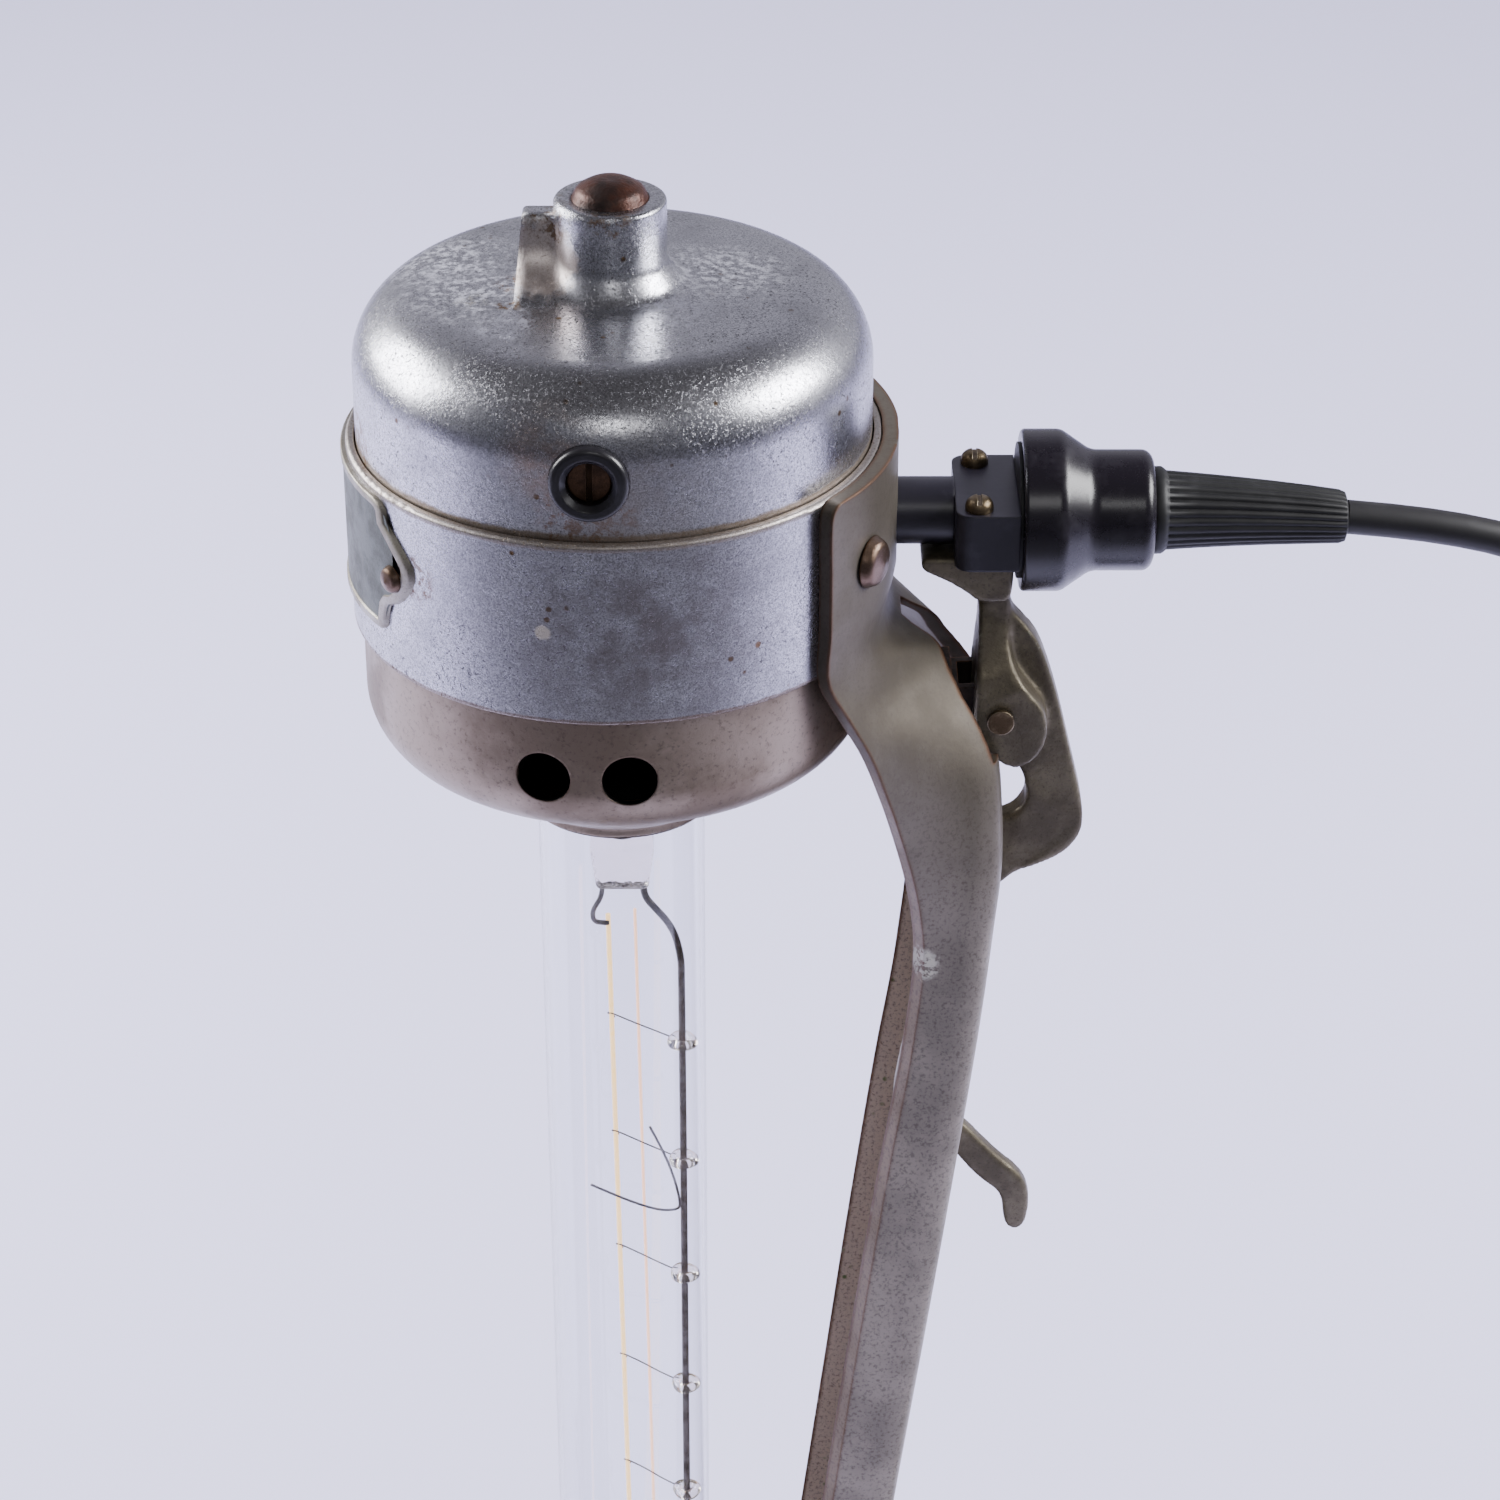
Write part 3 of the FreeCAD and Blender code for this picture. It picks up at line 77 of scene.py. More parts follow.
# The coil, from its top: degrees turned, radius and height in millimetres.
TURNS = (
    (0, 35.4, 19), (30, 30.9, 16.6), (194, 30.3, 16.6), (361, 42.0, 16.3), (560, 42.0, 16.2),
    (638, 36.9, 9.95), (901, 36.9, 9.95), (1039, 27.1, 9.95), (1260, 27.1, 9.95), (1382, 26.7, 3.35),
    (1585, 26.7, 3.35), (1711, 33.3, 3.35), (1957, 33.3, 3.35), (2059, 41.5, 3.35), (2325, 42.0, 3.35),
)


def coil_points():
    """Control points round the coil, 16 to a turn, clockwise seen from above.

    They stand a little outside the coil, because the spline passes inside its control points.
    """
    points = []
    for step in range(int(TURNS[-1][0] / COIL_STEP)):
        turned = (step + 0.5) * COIL_STEP
        for (a, ra, za), (b, rb, zb) in zip(TURNS, TURNS[1:]):
            if a <= turned < b:
                part = (turned - a) / (b - a)
                part = part * part * (3 - 2 * part)
                radius = (ra + (rb - ra) * part) / 1000 / SPLINE_SHRINK
                angle = -math.radians(turned)
                points.append((COIL[0] + radius * math.cos(angle), COIL[1] + radius * math.sin(angle),
                               (za + (zb - za) * part) / 1000))
    return points


def wires(name, routes, radius, around, along):
    """Round wires of one radius, each on its own NURBS spline, as one object."""
    data = bpy.data.curves.new(name, "CURVE")
    data.dimensions = "3D"
    data.bevel_depth = 1
    data.bevel_resolution = around
    data.use_fill_caps = True
    for route in routes:
        spline = data.splines.new("NURBS")
        spline.points.add(len(route) - 1)
        for point, place in zip(spline.points, route):
            point.co = (*place, 1)
            point.radius = radius
        spline.order_u = 3
        spline.use_endpoint_u = True
        spline.resolution_u = along
    return link(bpy.data.objects.new(name, data))


def lead():
    """The 1.8 m lead from its relief, down to the coil on the table, and on to its plug."""
    item = wires("lead", [list(ROUTE) + coil_points() + list(TAIL)], LEAD_DIAMETER / 2, around=5, along=6)
    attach(item, "root")
    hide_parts("lead_cord", "cord_coil", "lead_tail")
    return item


# ---- materials ----

class Nodes:
    """Short calls for the nodes of one tree, all worked from the coordinates in place."""

    def __init__(self, tree, coordinates):
        self.tree = tree
        self.place = tree.nodes.new("ShaderNodeTexCoord").outputs[coordinates]

    def feed(self, socket, value):
        if isinstance(value, bpy.types.NodeSocket):
            self.tree.links.new(value, socket)
        elif isinstance(value, tuple) and len(value) == 3 and socket.type == "RGBA":
            socket.default_value = (*value, 1)
        elif value is not None:
            socket.default_value = value

    def vector(self, kind, first, second=None):
        """A vector sum; its length, distance or dot product is the output called Value."""
        item = self.tree.nodes.new("ShaderNodeVectorMath")
        item.operation = kind
        self.feed(item.inputs[0], first)
        self.feed(item.inputs[1], second)
        return item.outputs

    def part(self, value, number):
        """One of a vector's three numbers."""
        item = self.tree.nodes.new("ShaderNodeSeparateXYZ")
        self.feed(item.inputs[0], value)
        return item.outputs[number]

    def true_normal(self):
        return self.tree.nodes.new("ShaderNodeNewGeometry").outputs["True Normal"]

    def noise(self, scale, detail=4, rough=0.6, stretch=(1, 1, 1), seed=0.0):
        shift = self.tree.nodes.new("ShaderNodeMapping")
        shift.inputs["Location"].default_value = (seed, seed * 0.7, seed * 0.3)
        shift.inputs["Scale"].default_value = stretch
        self.feed(shift.inputs["Vector"], self.place)
        item = self.tree.nodes.new("ShaderNodeTexNoise")
        self.feed(item.inputs["Vector"], shift.outputs["Vector"])
        item.inputs["Scale"].default_value = scale
        item.inputs["Detail"].default_value = detail
        item.inputs["Roughness"].default_value = rough
        return item.outputs["Fac"]

    def cells(self, scale, seed=0.0):
        shift = self.tree.nodes.new("ShaderNodeMapping")
        shift.inputs["Location"].default_value = (seed, seed, seed)
        self.feed(shift.inputs["Vector"], self.place)
        item = self.tree.nodes.new("ShaderNodeTexVoronoi")
        self.feed(item.inputs["Vector"], shift.outputs["Vector"])
        item.inputs["Scale"].default_value = scale
        return item.outputs["Distance"]

    def axis(self, number):
        return self.part(self.place, number)

    def span(self, value, low, high, first=0.0, last=1.0):
        """Smoothly first below low, last above high."""
        item = self.tree.nodes.new("ShaderNodeMapRange")
        item.interpolation_type = "SMOOTHSTEP"
        if low > high:
            low, high, first, last = high, low, last, first
        self.feed(item.inputs["Value"], value)
        for name, number in (("From Min", low), ("From Max", high), ("To Min", first), ("To Max", last)):
            item.inputs[name].default_value = number
        return item.outputs["Result"]

    def work(self, kind, first, second=0.0):
        item = self.tree.nodes.new("ShaderNodeMath")
        item.operation = kind
        item.use_clamp = kind in ("ADD", "SUBTRACT")
        self.feed(item.inputs[0], first)
        self.feed(item.inputs[1], second)
        return item.outputs[0]

    def both(self, *masks):
        """The product of masks."""
        result = masks[0]
        for mask in masks[1:]:
            result = self.work("MULTIPLY", result, mask)
        return result

    def near(self, place, size, edge=0.4):
        """A soft spot: 1 within size of a point, falling to 0 at its edge, ragged by noise."""
        distance = self.vector("DISTANCE", self.place, place)["Value"]
        ragged = self.work("ADD", distance, self.work("MULTIPLY", self.noise(420, 3), size * 0.8))
        return self.span(ragged, size * (1 + edge), size * (1.4 - edge))

    def flecks(self, low=0.46, high=0.6, scale=600, seed=0.0):
        """Small ragged islands."""
        return self.span(self.noise(scale, 4, 0.7, seed=seed), low, high)

    def inward(self):
        """1 on faces that look towards the lamp's axis or up, 0 on those that look out or down."""
        flat = self.vector("MULTIPLY", self.place, (1, 1, 0))["Vector"]
        unit = self.vector("NORMALIZE", flat)["Vector"]
        true = self.true_normal()
        outward = self.vector("DOT_PRODUCT", unit, true)["Value"]
        down = self.tree.nodes.new("ShaderNodeMath")
        down.operation = "SUBTRACT"
        self.feed(down.inputs[0], outward)
        self.feed(down.inputs[1], self.part(true, 2))
        return self.span(down.outputs[0], -0.1, -0.4)

    def facing(self, number):
        """How far a face looks along an axis, from -1 to 1."""
        return self.part(self.true_normal(), number)

    def mix(self, mask, under, over):
        item = self.tree.nodes.new("ShaderNodeMix")
        item.data_type = "RGBA"
        self.feed(item.inputs[0], mask)
        self.feed(item.inputs[6], under)
        self.feed(item.inputs[7], over)
        return item.outputs[2]

    def edges(self, radius, low=0.02, high=0.22):
        """1 along sharp edges, from how far a rounded normal turns away from the true one."""
        soft = self.tree.nodes.new("ShaderNodeBevel")
        soft.samples = 6
        soft.inputs["Radius"].default_value = radius
        true = self.tree.nodes.new("ShaderNodeNewGeometry").outputs["Normal"]
        same = self.vector("DOT_PRODUCT", soft.outputs[0], true)["Value"]
        return self.span(self.work("SUBTRACT", 1.0, same), low, high)


class Finish(Nodes):
    """A principled material built from the object's own coordinates."""

    def __init__(self, name, colour, metallic=0.0, rough=0.5):
        self.material = bpy.data.materials.new(name)
        self.material.use_nodes = True
        super().__init__(self.material.node_tree, "Object")
        self.surface = self.tree.nodes["Principled BSDF"]
        self.set("Base Color", (*colour, 1))
        self.set("Metallic", metallic)
        self.set("Roughness", rough)

    def set(self, name, value):
        """Give one of the surface's inputs a number, a colour or another node's output."""
        self.feed(self.surface.inputs[name], value)

    def relief(self, height, strength, depth, rounding=0.0):
        """Bump from a height, over edges rounded by a radius."""
        item = self.tree.nodes.new("ShaderNodeBump")
        item.inputs["Strength"].default_value = strength
        item.inputs["Distance"].default_value = depth
        self.feed(item.inputs["Height"], height)
        if rounding:
            soft = self.tree.nodes.new("ShaderNodeBevel")
            soft.samples = 6
            self.feed(soft.inputs["Radius"], rounding)
            self.feed(item.inputs["Normal"], soft.outputs[0])
        self.set("Normal", item.outputs["Normal"])


def pitted_nickel(name, colour, stains_and_reflections=(), fillet=None):
    """Satin nickel with a fine dark grain, pits in patches, soft clouding, stain marks, and clouds of painted
    reflection.

    Each entry, a stain mark or a cloud of painted reflection, is its kind, the numbers that place it, its
    colour, its strength and its added roughness.
    """
    finish = Finish(name, colour, 1.0)
    clouds = finish.noise(85, 5, 0.65, seed=1)
    grain = finish.span(finish.noise(3400, 1, 0.5), 0.34, 0.62)
    tone = finish.mix(grain, tuple(c * 0.56 for c in colour), tuple(min(1, c * 1.08) for c in colour))
    tone = finish.mix(finish.span(clouds, 0.42, 0.70, 0, 0.45), tone, tuple(c * 0.5 for c in colour))
    patches = finish.span(finish.noise(26, 4, 0.6, seed=3), 0.40, 0.60, 0.25, 1)
    pits = finish.both(finish.span(finish.noise(1500, 3, 0.75, seed=5), 0.57, 0.63), patches)
    tone = finish.mix(finish.work("MULTIPLY", pits, 0.8), tone, (0.05, 0.045, 0.05))
    dots = finish.both(finish.span(finish.cells(230, 2), 0.17, 0.08),
                       finish.span(finish.noise(60, 2, seed=9), 0.54, 0.62))
    tone = finish.mix(dots, tone, (0.14, 0.085, 0.04))
    rough = finish.work("ADD", 0.19, finish.work("MULTIPLY", clouds, 0.16))
    rough = finish.work("ADD", rough, finish.work("MULTIPLY", pits, 0.22))
    metallic = 1.0
    for kind, numbers, over, strength, duller in stains_and_reflections:
        mask = finish.work("MULTIPLY", stain_and_reflection_mask(finish, kind, numbers), strength)
        tone = finish.mix(mask, tone, over)
        rough = finish.work("ADD", rough, finish.work("MULTIPLY", mask, duller))
        if kind == "crust":
            metallic = finish.work("SUBTRACT", metallic, finish.work("MULTIPLY", mask, 0.8))
    finish.set("Metallic", metallic)
    finish.set("Base Color", tone)
    finish.set("Roughness", rough)
    height = finish.work("SUBTRACT", finish.noise(900, 3, 0.6), finish.work("MULTIPLY", pits, 0.5))
    radius = 0.0004
    if fillet:
        radius = finish.work("ADD", 0.0004, finish.work("MULTIPLY", finish.near(*fillet), 0.0026))
    finish.relief(height, 0.4, 0.00012, radius)
    return finish.material


def stain_and_reflection_mask(finish, kind, numbers):
    """Where a mark lies, a stain or a cloud of painted reflection: round a place, or for a band between two
    heights with a ragged edge.
    """
    if kind == "spot":
        return finish.near(*numbers)
    if kind == "flecks":
        return finish.both(finish.near(*numbers), finish.flecks(seed=numbers[0][0] * 40))
    if kind == "crust":
        return finish.both(finish.near(*numbers, 0.8), finish.flecks(0.44, 0.62, 640, numbers[0][1] * 90))
    # A cloud is painted reflection: a broad soft patch standing for the dark room seen in the metal's front.
    if kind == "cloud":
        return finish.both(finish.near(*numbers, 0.95), finish.flecks(0.28, 0.62, 120))
    low, high, edge = numbers
    noise = finish.noise(130, 4, 0.7, seed=low * 50)
    ragged = finish.work("ADD", finish.axis(2), finish.work("MULTIPLY", noise, edge * 3))
    shift = edge * 1.5
    return finish.both(finish.span(ragged, low + shift - edge, low + shift),
                       finish.span(ragged, high + shift + edge, high + shift))


def tarnished(name, colour, dark, rough, edge_colour=None, edge=0.0008, grain=70, metallic=0.9,
              depth=0.0002, painted_shade_inside=False):
    """Dull plated or cast metal with blotches, fine grain, and worn or rusted edges; painted shade can darken
    the faces that look inward or up.
    """
    finish = Finish(name, colour, metallic)
    blotch = finish.span(finish.noise(grain, 6, 0.62), 0.38, 0.64)
    tone = finish.mix(blotch, colour, dark)
    fine = finish.span(finish.noise(grain * 22, 3, 0.7, seed=4), 0.52, 0.72)
    tone = finish.mix(finish.work("MULTIPLY", fine, 0.55), tone, tuple(c * 0.45 for c in dark))
    if edge_colour:
        worn = finish.both(finish.edges(edge), finish.span(finish.noise(260, 4, 0.7, seed=7), 0.30, 0.52))
        tone = finish.mix(worn, tone, edge_colour)
    # Painted shade: faces that look towards the lamp's axis or up are made near black, where the housing's
    # inside lies in shade.
    if painted_shade_inside:
        tone = finish.mix(finish.inward(), tone, (0.012, 0.011, 0.01))
    finish.set("Base Color", tone)
    finish.set("Roughness", finish.work("ADD", rough, finish.work("MULTIPLY", blotch, 0.12)))
    finish.relief(finish.noise(grain * 9, 4, 0.65), 0.4, depth, edge * 0.8)
    return finish.material


def moulded(name, colour, rough, bump=0.00005, rounding=0.0005, coat=0.0):
    """Black moulding or paint, with a faint ripple, dust and handling marks."""
    finish = Finish(name, colour, 0.0)
    marks = finish.span(finish.noise(125, 5, 0.7), 0.5, 0.72)
    lighter = tuple(c * 1.5 + 0.004 for c in colour)
    finish.set("Base Color", finish.mix(marks, colour, lighter))
    finish.set("Roughness", finish.work("ADD", rough, finish.work("MULTIPLY", marks, 0.14)))
    finish.set("Coat Weight", coat)
    finish.set("Coat Roughness", 0.06)
    finish.relief(finish.noise(500, 3, 0.55), 0.4, bump, rounding)
    return finish.material


def column_nickel():
    """Worn plate on the pressed column: olive by the fold, brown bare edges, and painted light making the far
    flange's lower part lighter and warm.
    """
    base, olive = (0.30, 0.265, 0.22), (0.082, 0.066, 0.034)
    finish = Finish("column_nickel", base, 0.85)
    blotch = finish.span(finish.noise(55, 6, 0.62), 0.36, 0.66)
    tone = finish.mix(blotch, base, (0.22, 0.195, 0.165))
    height = finish.axis(2)
    fold = finish.both(finish.span(height, HEAD - 0.042, HEAD - 0.016),
                       finish.span(height, HEAD + 0.016, HEAD + 0.002),
                       finish.span(finish.noise(80, 4, 0.6, seed=2), 0.35, 0.6))
    tone = finish.mix(finish.work("MULTIPLY", fold, 0.8), tone, olive)
    # Darker towards the top of the column, below the housing.
    upper = finish.span(height, HEAD - 0.085, HEAD - 0.022)
    tone = finish.mix(finish.work("MULTIPLY", upper, 0.85), tone, (0.088, 0.074, 0.057))
    # Painted light: the far flange's lower part is made lighter and warmer than the same sheet elsewhere.
    inside = finish.both(finish.span(finish.axis(1), 0.0165, 0.0175),
                         finish.span(height, HEAD - 0.03, HEAD - 0.05))
    tone = finish.mix(finish.work("MULTIPLY", inside, 0.85), tone, (0.60, 0.49, 0.39))
    cut = finish.both(finish.span(finish.facing(0), -0.35, -0.7),
                      finish.span(height, HEAD - 0.01, HEAD - 0.03))
    tone = finish.mix(finish.work("MULTIPLY", cut, 0.8), tone, (0.21, 0.155, 0.11))
    fine = finish.span(finish.noise(1300, 3, 0.75, seed=4), 0.48, 0.66)
    tone = finish.mix(finish.work("MULTIPLY", fine, 0.6), tone, (0.085, 0.07, 0.055))
    green = finish.both(finish.span(finish.cells(260, 4), 0.2, 0.08), inside,
                        finish.span(finish.noise(70, 2, seed=5), 0.5, 0.62))
    tone = finish.mix(green, tone, (0.12, 0.17, 0.07))
    worn = finish.both(finish.edges(0.0016, 0.02, 0.14),
                       finish.span(finish.noise(200, 4, 0.7, seed=7), 0.26, 0.44))
    tone = finish.mix(worn, tone, (0.115, 0.055, 0.028))
    chip = finish.near((0.0575, -0.0215, HEAD - 0.068), 0.0042)
    flaked = finish.both(chip, finish.span(finish.noise(600, 3, 0.7), 0.42, 0.52))
    tone = finish.mix(flaked, tone, (0.62, 0.60, 0.52))
    finish.set("Base Color", tone)
    finish.set("Metallic", finish.work("SUBTRACT", 0.55, finish.work("MULTIPLY", flaked, 0.5)))
    finish.set("Roughness", finish.work("ADD", 0.44, finish.work("MULTIPLY", blotch, 0.14)))
    finish.relief(finish.noise(700, 4, 0.65), 0.4, 0.00012, 0.0007)
    return finish.material


def clear_glass(name, tint=(0.97, 0.98, 1.0), rough=0.015, ripple=0.0):
    """Clear lamp glass with a faint smear of dust, and painted shade darkening it where it is seen edge-on.
    """
    finish = Finish(name, tint, 0.0, rough)
    finish.set("Transmission Weight", 1.0)
    finish.set("IOR", 1.5)
    smear = finish.span(finish.noise(120, 4, 0.6, (1, 1, 0.25)), 0.55, 0.8)
    finish.set("Roughness", finish.work("ADD", rough, finish.work("MULTIPLY", smear, 0.05)))
    # Painted shade: the glass's tint darkens where it is seen edge-on.
    rim = finish.tree.nodes.new("ShaderNodeLayerWeight")
    rim.inputs["Blend"].default_value = 0.5
    finish.set("Base Color", finish.mix(finish.span(rim.outputs["Facing"], 0.72, 0.98), tint,
                                        tuple(c * 0.62 for c in tint)))
    if ripple:
        finish.relief(finish.noise(320, 3, 0.6), ripple, 0.0012)
    return finish.material


def felt():
    """Dark green felt."""
    finish = Finish("felt", (0.03, 0.055, 0.035), 0.0, 0.95)
    fibres = finish.noise(1800, 5, 0.8)
    finish.set("Base Color", finish.mix(fibres, (0.02, 0.04, 0.025), (0.06, 0.10, 0.065)))
    finish.set("Sheen Weight", 0.4)
    finish.relief(fibres, 0.8, 0.0004)
    return finish.material


def thread_finish(name, colour):
    """A pale filament thread with a faint glow."""
    finish = Finish(name, colour, 0.0, 0.45)
    tone = finish.mix(finish.noise(900, 2), colour, (1.0, 0.72, 0.42))
    finish.set("Base Color", tone)
    finish.set("Emission Color", tone)
    finish.set("Emission Strength", 2.2)
    return finish.material


def finishes():
    brown, whitish, rust = (0.17, 0.10, 0.045), (0.74, 0.74, 0.86), (0.20, 0.10, 0.035)
    tan = (0.27, 0.20, 0.125)
    cap = pitted_nickel("cap_nickel", (0.60, 0.60, 0.65), (
        ("band", (HEAD + 0.0350, HEAD + 0.0362, 0.0007), tan, 0.7, 0.3),
        ("crust", ((-0.025, -0.004, HEAD + 0.0630), 0.0125), whitish, 0.6, 0.2),
        ("crust", ((-0.030, 0.010, HEAD + 0.0630), 0.0120), whitish, 0.6, 0.2),
        ("flecks", ((-0.018, -0.019, HEAD + 0.0634), 0.0070), whitish, 0.7, 0.3),
        ("crust", ((0.020, 0.004, HEAD + 0.0634), 0.0120), whitish, 0.45, 0.2),
        ("flecks", ((0.012, -0.014, HEAD + 0.0634), 0.0080), whitish, 0.4, 0.3),
        # Brown flecks beside the fin's left foot: a darker patch in the corner there.
        ("flecks", ((-0.0178, -0.0110, HEAD + 0.0640), 0.0030), brown, 0.9, 0.3),
        ("crust", ((-0.0245, -0.0085, HEAD + 0.0636), 0.0030), (0.10, 0.085, 0.06), 0.8, 0.3),
        ("flecks", ((-0.0165, -0.002, HEAD + 0.0650), 0.0050), rust, 0.8, 0.3),
        ("spot", ((-0.0125, -0.006, HEAD + 0.0705), 0.0085), (0.72, 0.60, 0.53), 0.6, 0.25),
        ("flecks", ((-0.0100, -0.002, HEAD + 0.0760), 0.0055), brown, 0.8, 0.2),
        ("flecks", ((0.0, -0.009, HEAD + 0.0795), 0.0045), rust, 0.7, 0.2),
        ("flecks", ((-0.003, -0.0466, HEAD + 0.0400), 0.0100), rust, 0.7, 0.2),
        # Painted reflection: warm, darker clouds on the cap's front, for the dark room reflected there.
        ("cloud", ((-0.009, -0.044, HEAD + 0.0500), 0.0075), (0.52, 0.36, 0.27), 0.75, 0.0),
        ("cloud", ((0.004, -0.047, HEAD + 0.0400), 0.0140), (0.34, 0.29, 0.26), 0.5, 0.1),
        ("flecks", ((-0.046, -0.012, HEAD + 0.0375), 0.0080), rust, 0.7, 0.2),
    ), ((-0.007, -0.004, HEAD + 0.068), 0.018))
    shell = pitted_nickel("shell_nickel", (0.57, 0.57, 0.62), (
        # Painted reflection: a broad dark cloud on the shell's front, for the dark room reflected there.
        ("cloud", ((0.005, -0.048, HEAD + 0.018), 0.0230), (0.20, 0.178, 0.172), 0.9, 0.12),
        ("band", (HEAD + 0.0344, HEAD + 0.0362, 0.0004), tan, 0.5, 0.3),
        ("band", (HEAD - 0.001, HEAD + 0.0007, 0.0004), brown, 0.6, 0.2),
        ("spot", ((-0.0115, -0.0476, HEAD + 0.018), 0.0018), (0.60, 0.55, 0.45), 0.85, 0.3),
        ("spot", ((0.0262, -0.0414, HEAD + 0.0122), 0.0008), rust, 0.8, 0.3),
        ("flecks", ((-0.034, -0.035, HEAD + 0.022), 0.0050), rust, 0.7, 0.3),
    ))
    return {
        "top_cap": cap,
        "body_shell": shell,
        # The cover's inner faces carry near-black painted shade.
        "lower_cover": tarnished("cover_nickel", (0.32, 0.26, 0.205), (0.20, 0.155, 0.115), 0.36,
                                 (0.09, 0.055, 0.035), 0.0007, 48, 0.85, painted_shade_inside=True),
        "column": column_nickel(),
        "lever": tarnished("lever_casting", (0.185, 0.16, 0.11), (0.105, 0.088, 0.062), 0.38,
                           (0.50, 0.50, 0.43), 0.0012, 75, 0.6, 0.0003),
        "screw": tarnished("tarnished_brass", (0.22, 0.17, 0.105), (0.10, 0.07, 0.04), 0.30,
                           (0.42, 0.35, 0.25), 0.0004, 240, 0.9),
        "slotted": tarnished("brown_screw", (0.10, 0.055, 0.03), (0.05, 0.028, 0.016), 0.42,
                             (0.20, 0.13, 0.08), 0.0003, 240, 0.8),
        "rivet": tarnished("copper_rivet", (0.19, 0.13, 0.10), (0.10, 0.065, 0.045), 0.30,
                           (0.14, 0.075, 0.04), 0.0006, 200, 0.95),
        "dome": tarnished("plug_patina", (0.075, 0.026, 0.015), (0.022, 0.012, 0.010), 0.30,
                          (0.02, 0.012, 0.01), 0.0006, 130, 0.5, 0.0004),
        "plate": tarnished("plate_border", (0.42, 0.40, 0.36), (0.30, 0.275, 0.235), 0.4,
                           (0.14, 0.085, 0.05), 0.0005, 110),
        "field": tarnished("plate_field", (0.125, 0.14, 0.135), (0.085, 0.09, 0.085), 0.5,
                           None, 0.0003, 160, 0.4),
        "satin": moulded("satin_black", (0.020, 0.018, 0.027), 0.36, 0.00006, 0.0006),
        "gloss": moulded("gloss_moulding", (0.009, 0.007, 0.011), 0.27, 0.00003, 0.0006),
        "rubber": moulded("black_rubber", (0.006, 0.006, 0.007), 0.54, 0.00008, 0.0003),
        "sheath": moulded("lead_sheath", (0.014, 0.013, 0.015), 0.48, 0.00006, 0.0),
        "ring": moulded("brush_ring", (0.012, 0.011, 0.014), 0.34, 0.00005, 0.0005, 0.2),
        "fibre": moulded("black_fibre", (0.006, 0.006, 0.006), 0.8, 0.00005, 0.0003),
        # Near-black steel with rusted edges; on the lampholder parts within the housing its darkness is
        # painted shade seen through the vents.
        "rust_and_shade": tarnished("rusty_bracket", (0.05, 0.036, 0.030), (0.025, 0.02, 0.018), 0.6,
                           (0.13, 0.06, 0.028), 0.0006, 180, 0.5),
        "steel": tarnished("dark_wire", (0.16, 0.145, 0.13), (0.08, 0.07, 0.06), 0.30, None, 0.0002, 300),
        "base": tarnished("base_nickel", (0.42, 0.385, 0.345), (0.30, 0.26, 0.215), 0.36,
                          (0.14, 0.08, 0.04), 0.0008, 40),
        "iron": tarnished("iron_casting", (0.12, 0.115, 0.11), (0.07, 0.065, 0.06), 0.6,
                          (0.15, 0.08, 0.04), 0.0008, 90, 0.7, 0.0005),
        "glass": clear_glass("clear_glass"),
        "press": clear_glass("stem_glass", (1.0, 0.92, 0.90), 0.03, ripple=0.7),
        "bead": clear_glass("bead_glass", (0.93, 0.88, 0.82), 0.05),
        "yellow": thread_finish("yellow_thread", (1.0, 0.60, 0.17)),
        "pink": thread_finish("pink_thread", (1.0, 0.40, 0.34)),
        "felt": felt(),
    }


PAINTED = {
    "top_cap": "top_cap", "boss_plug": "dome", "brush_insulators": "ring", "brush_cap_screws": "slotted",
    "body_shell": "body_shell", "name_plate_rivets": "rivet", "lower_cover": "lower_cover",
    # The lampholder parts within the housing are near black: painted shade behind the vents.
    "lamp_collar": "rust_and_shade", "lampholder_shell": "rust_and_shade", "lampholder_insulator": "fibre",
    "centre_contact": "rust_and_shade", "lampholder_bracket": "rust_and_shade", "lampholder_screws": "rust_and_shade",
    "internal_leads": "sheath", "yoke_column": "column", "yoke_rivets": "rivet", "inlet_tube": "satin",
    "terminal_block": "satin", "terminal_screws": "screw", "connector_pins": "screw",
    "block_cover_plate": "rubber", "plug_cap": "gloss", "plug_insert": "gloss", "switch_lever": "lever",
    "pivot_bracket": "rust_and_shade", "pivot_pin": "screw", "return_spring": "steel", "switch_plunger": "screw",
    "glass_tube": "glass", "lamp_cap_shell": "screw", "lamp_cap_insulator": "gloss",
    "lamp_contact": "screw", "glass_stem": "press", "support_wire": "steel", "lead_in_wire": "steel",
    "base_cover": "base", "base_weight": "iron", "felt_pad": "felt", "base_bolt": "iron",
    "column_foot": "iron", "foot_screws": "screw", "mains_plug": "gloss", "mains_plug_blades": "screw",
}


def paint(item, material):
    item.data.materials.clear()
    item.data.materials.append(material)


# ---- pieces ----

def mesh_object(name, shape):
    """An object from a bmesh, its faces turned outward."""
    bmesh.ops.recalc_face_normals(shape, faces=shape.faces)
    data = bpy.data.meshes.new(name)
    shape.to_mesh(data)
    shape.free()
    return link(bpy.data.objects.new(name, data))


def shade(item, angle):
    """Smooth shading but for edges sharper than an angle in degrees."""
    for face in item.data.polygons:
        face.use_smooth = True
    item.data.set_sharp_from_angle(angle=math.radians(angle))


def declare(item, body, replaced):
    """Say which body a piece rides on and which CAD nodes it replaces."""
    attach(item, body)
    if replaced:
        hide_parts(*replaced)


def mesh_piece(name, shape, material, body, replaced):
    item = mesh_object(name, shape)
    shade(item, 38)
    paint(item, material)
    declare(item, body, replaced)


def millimetres(x, y, z):
    """A point given in millimetres about the housing's lower edge."""
    return (x / 1000, y / 1000, HEAD + z / 1000)


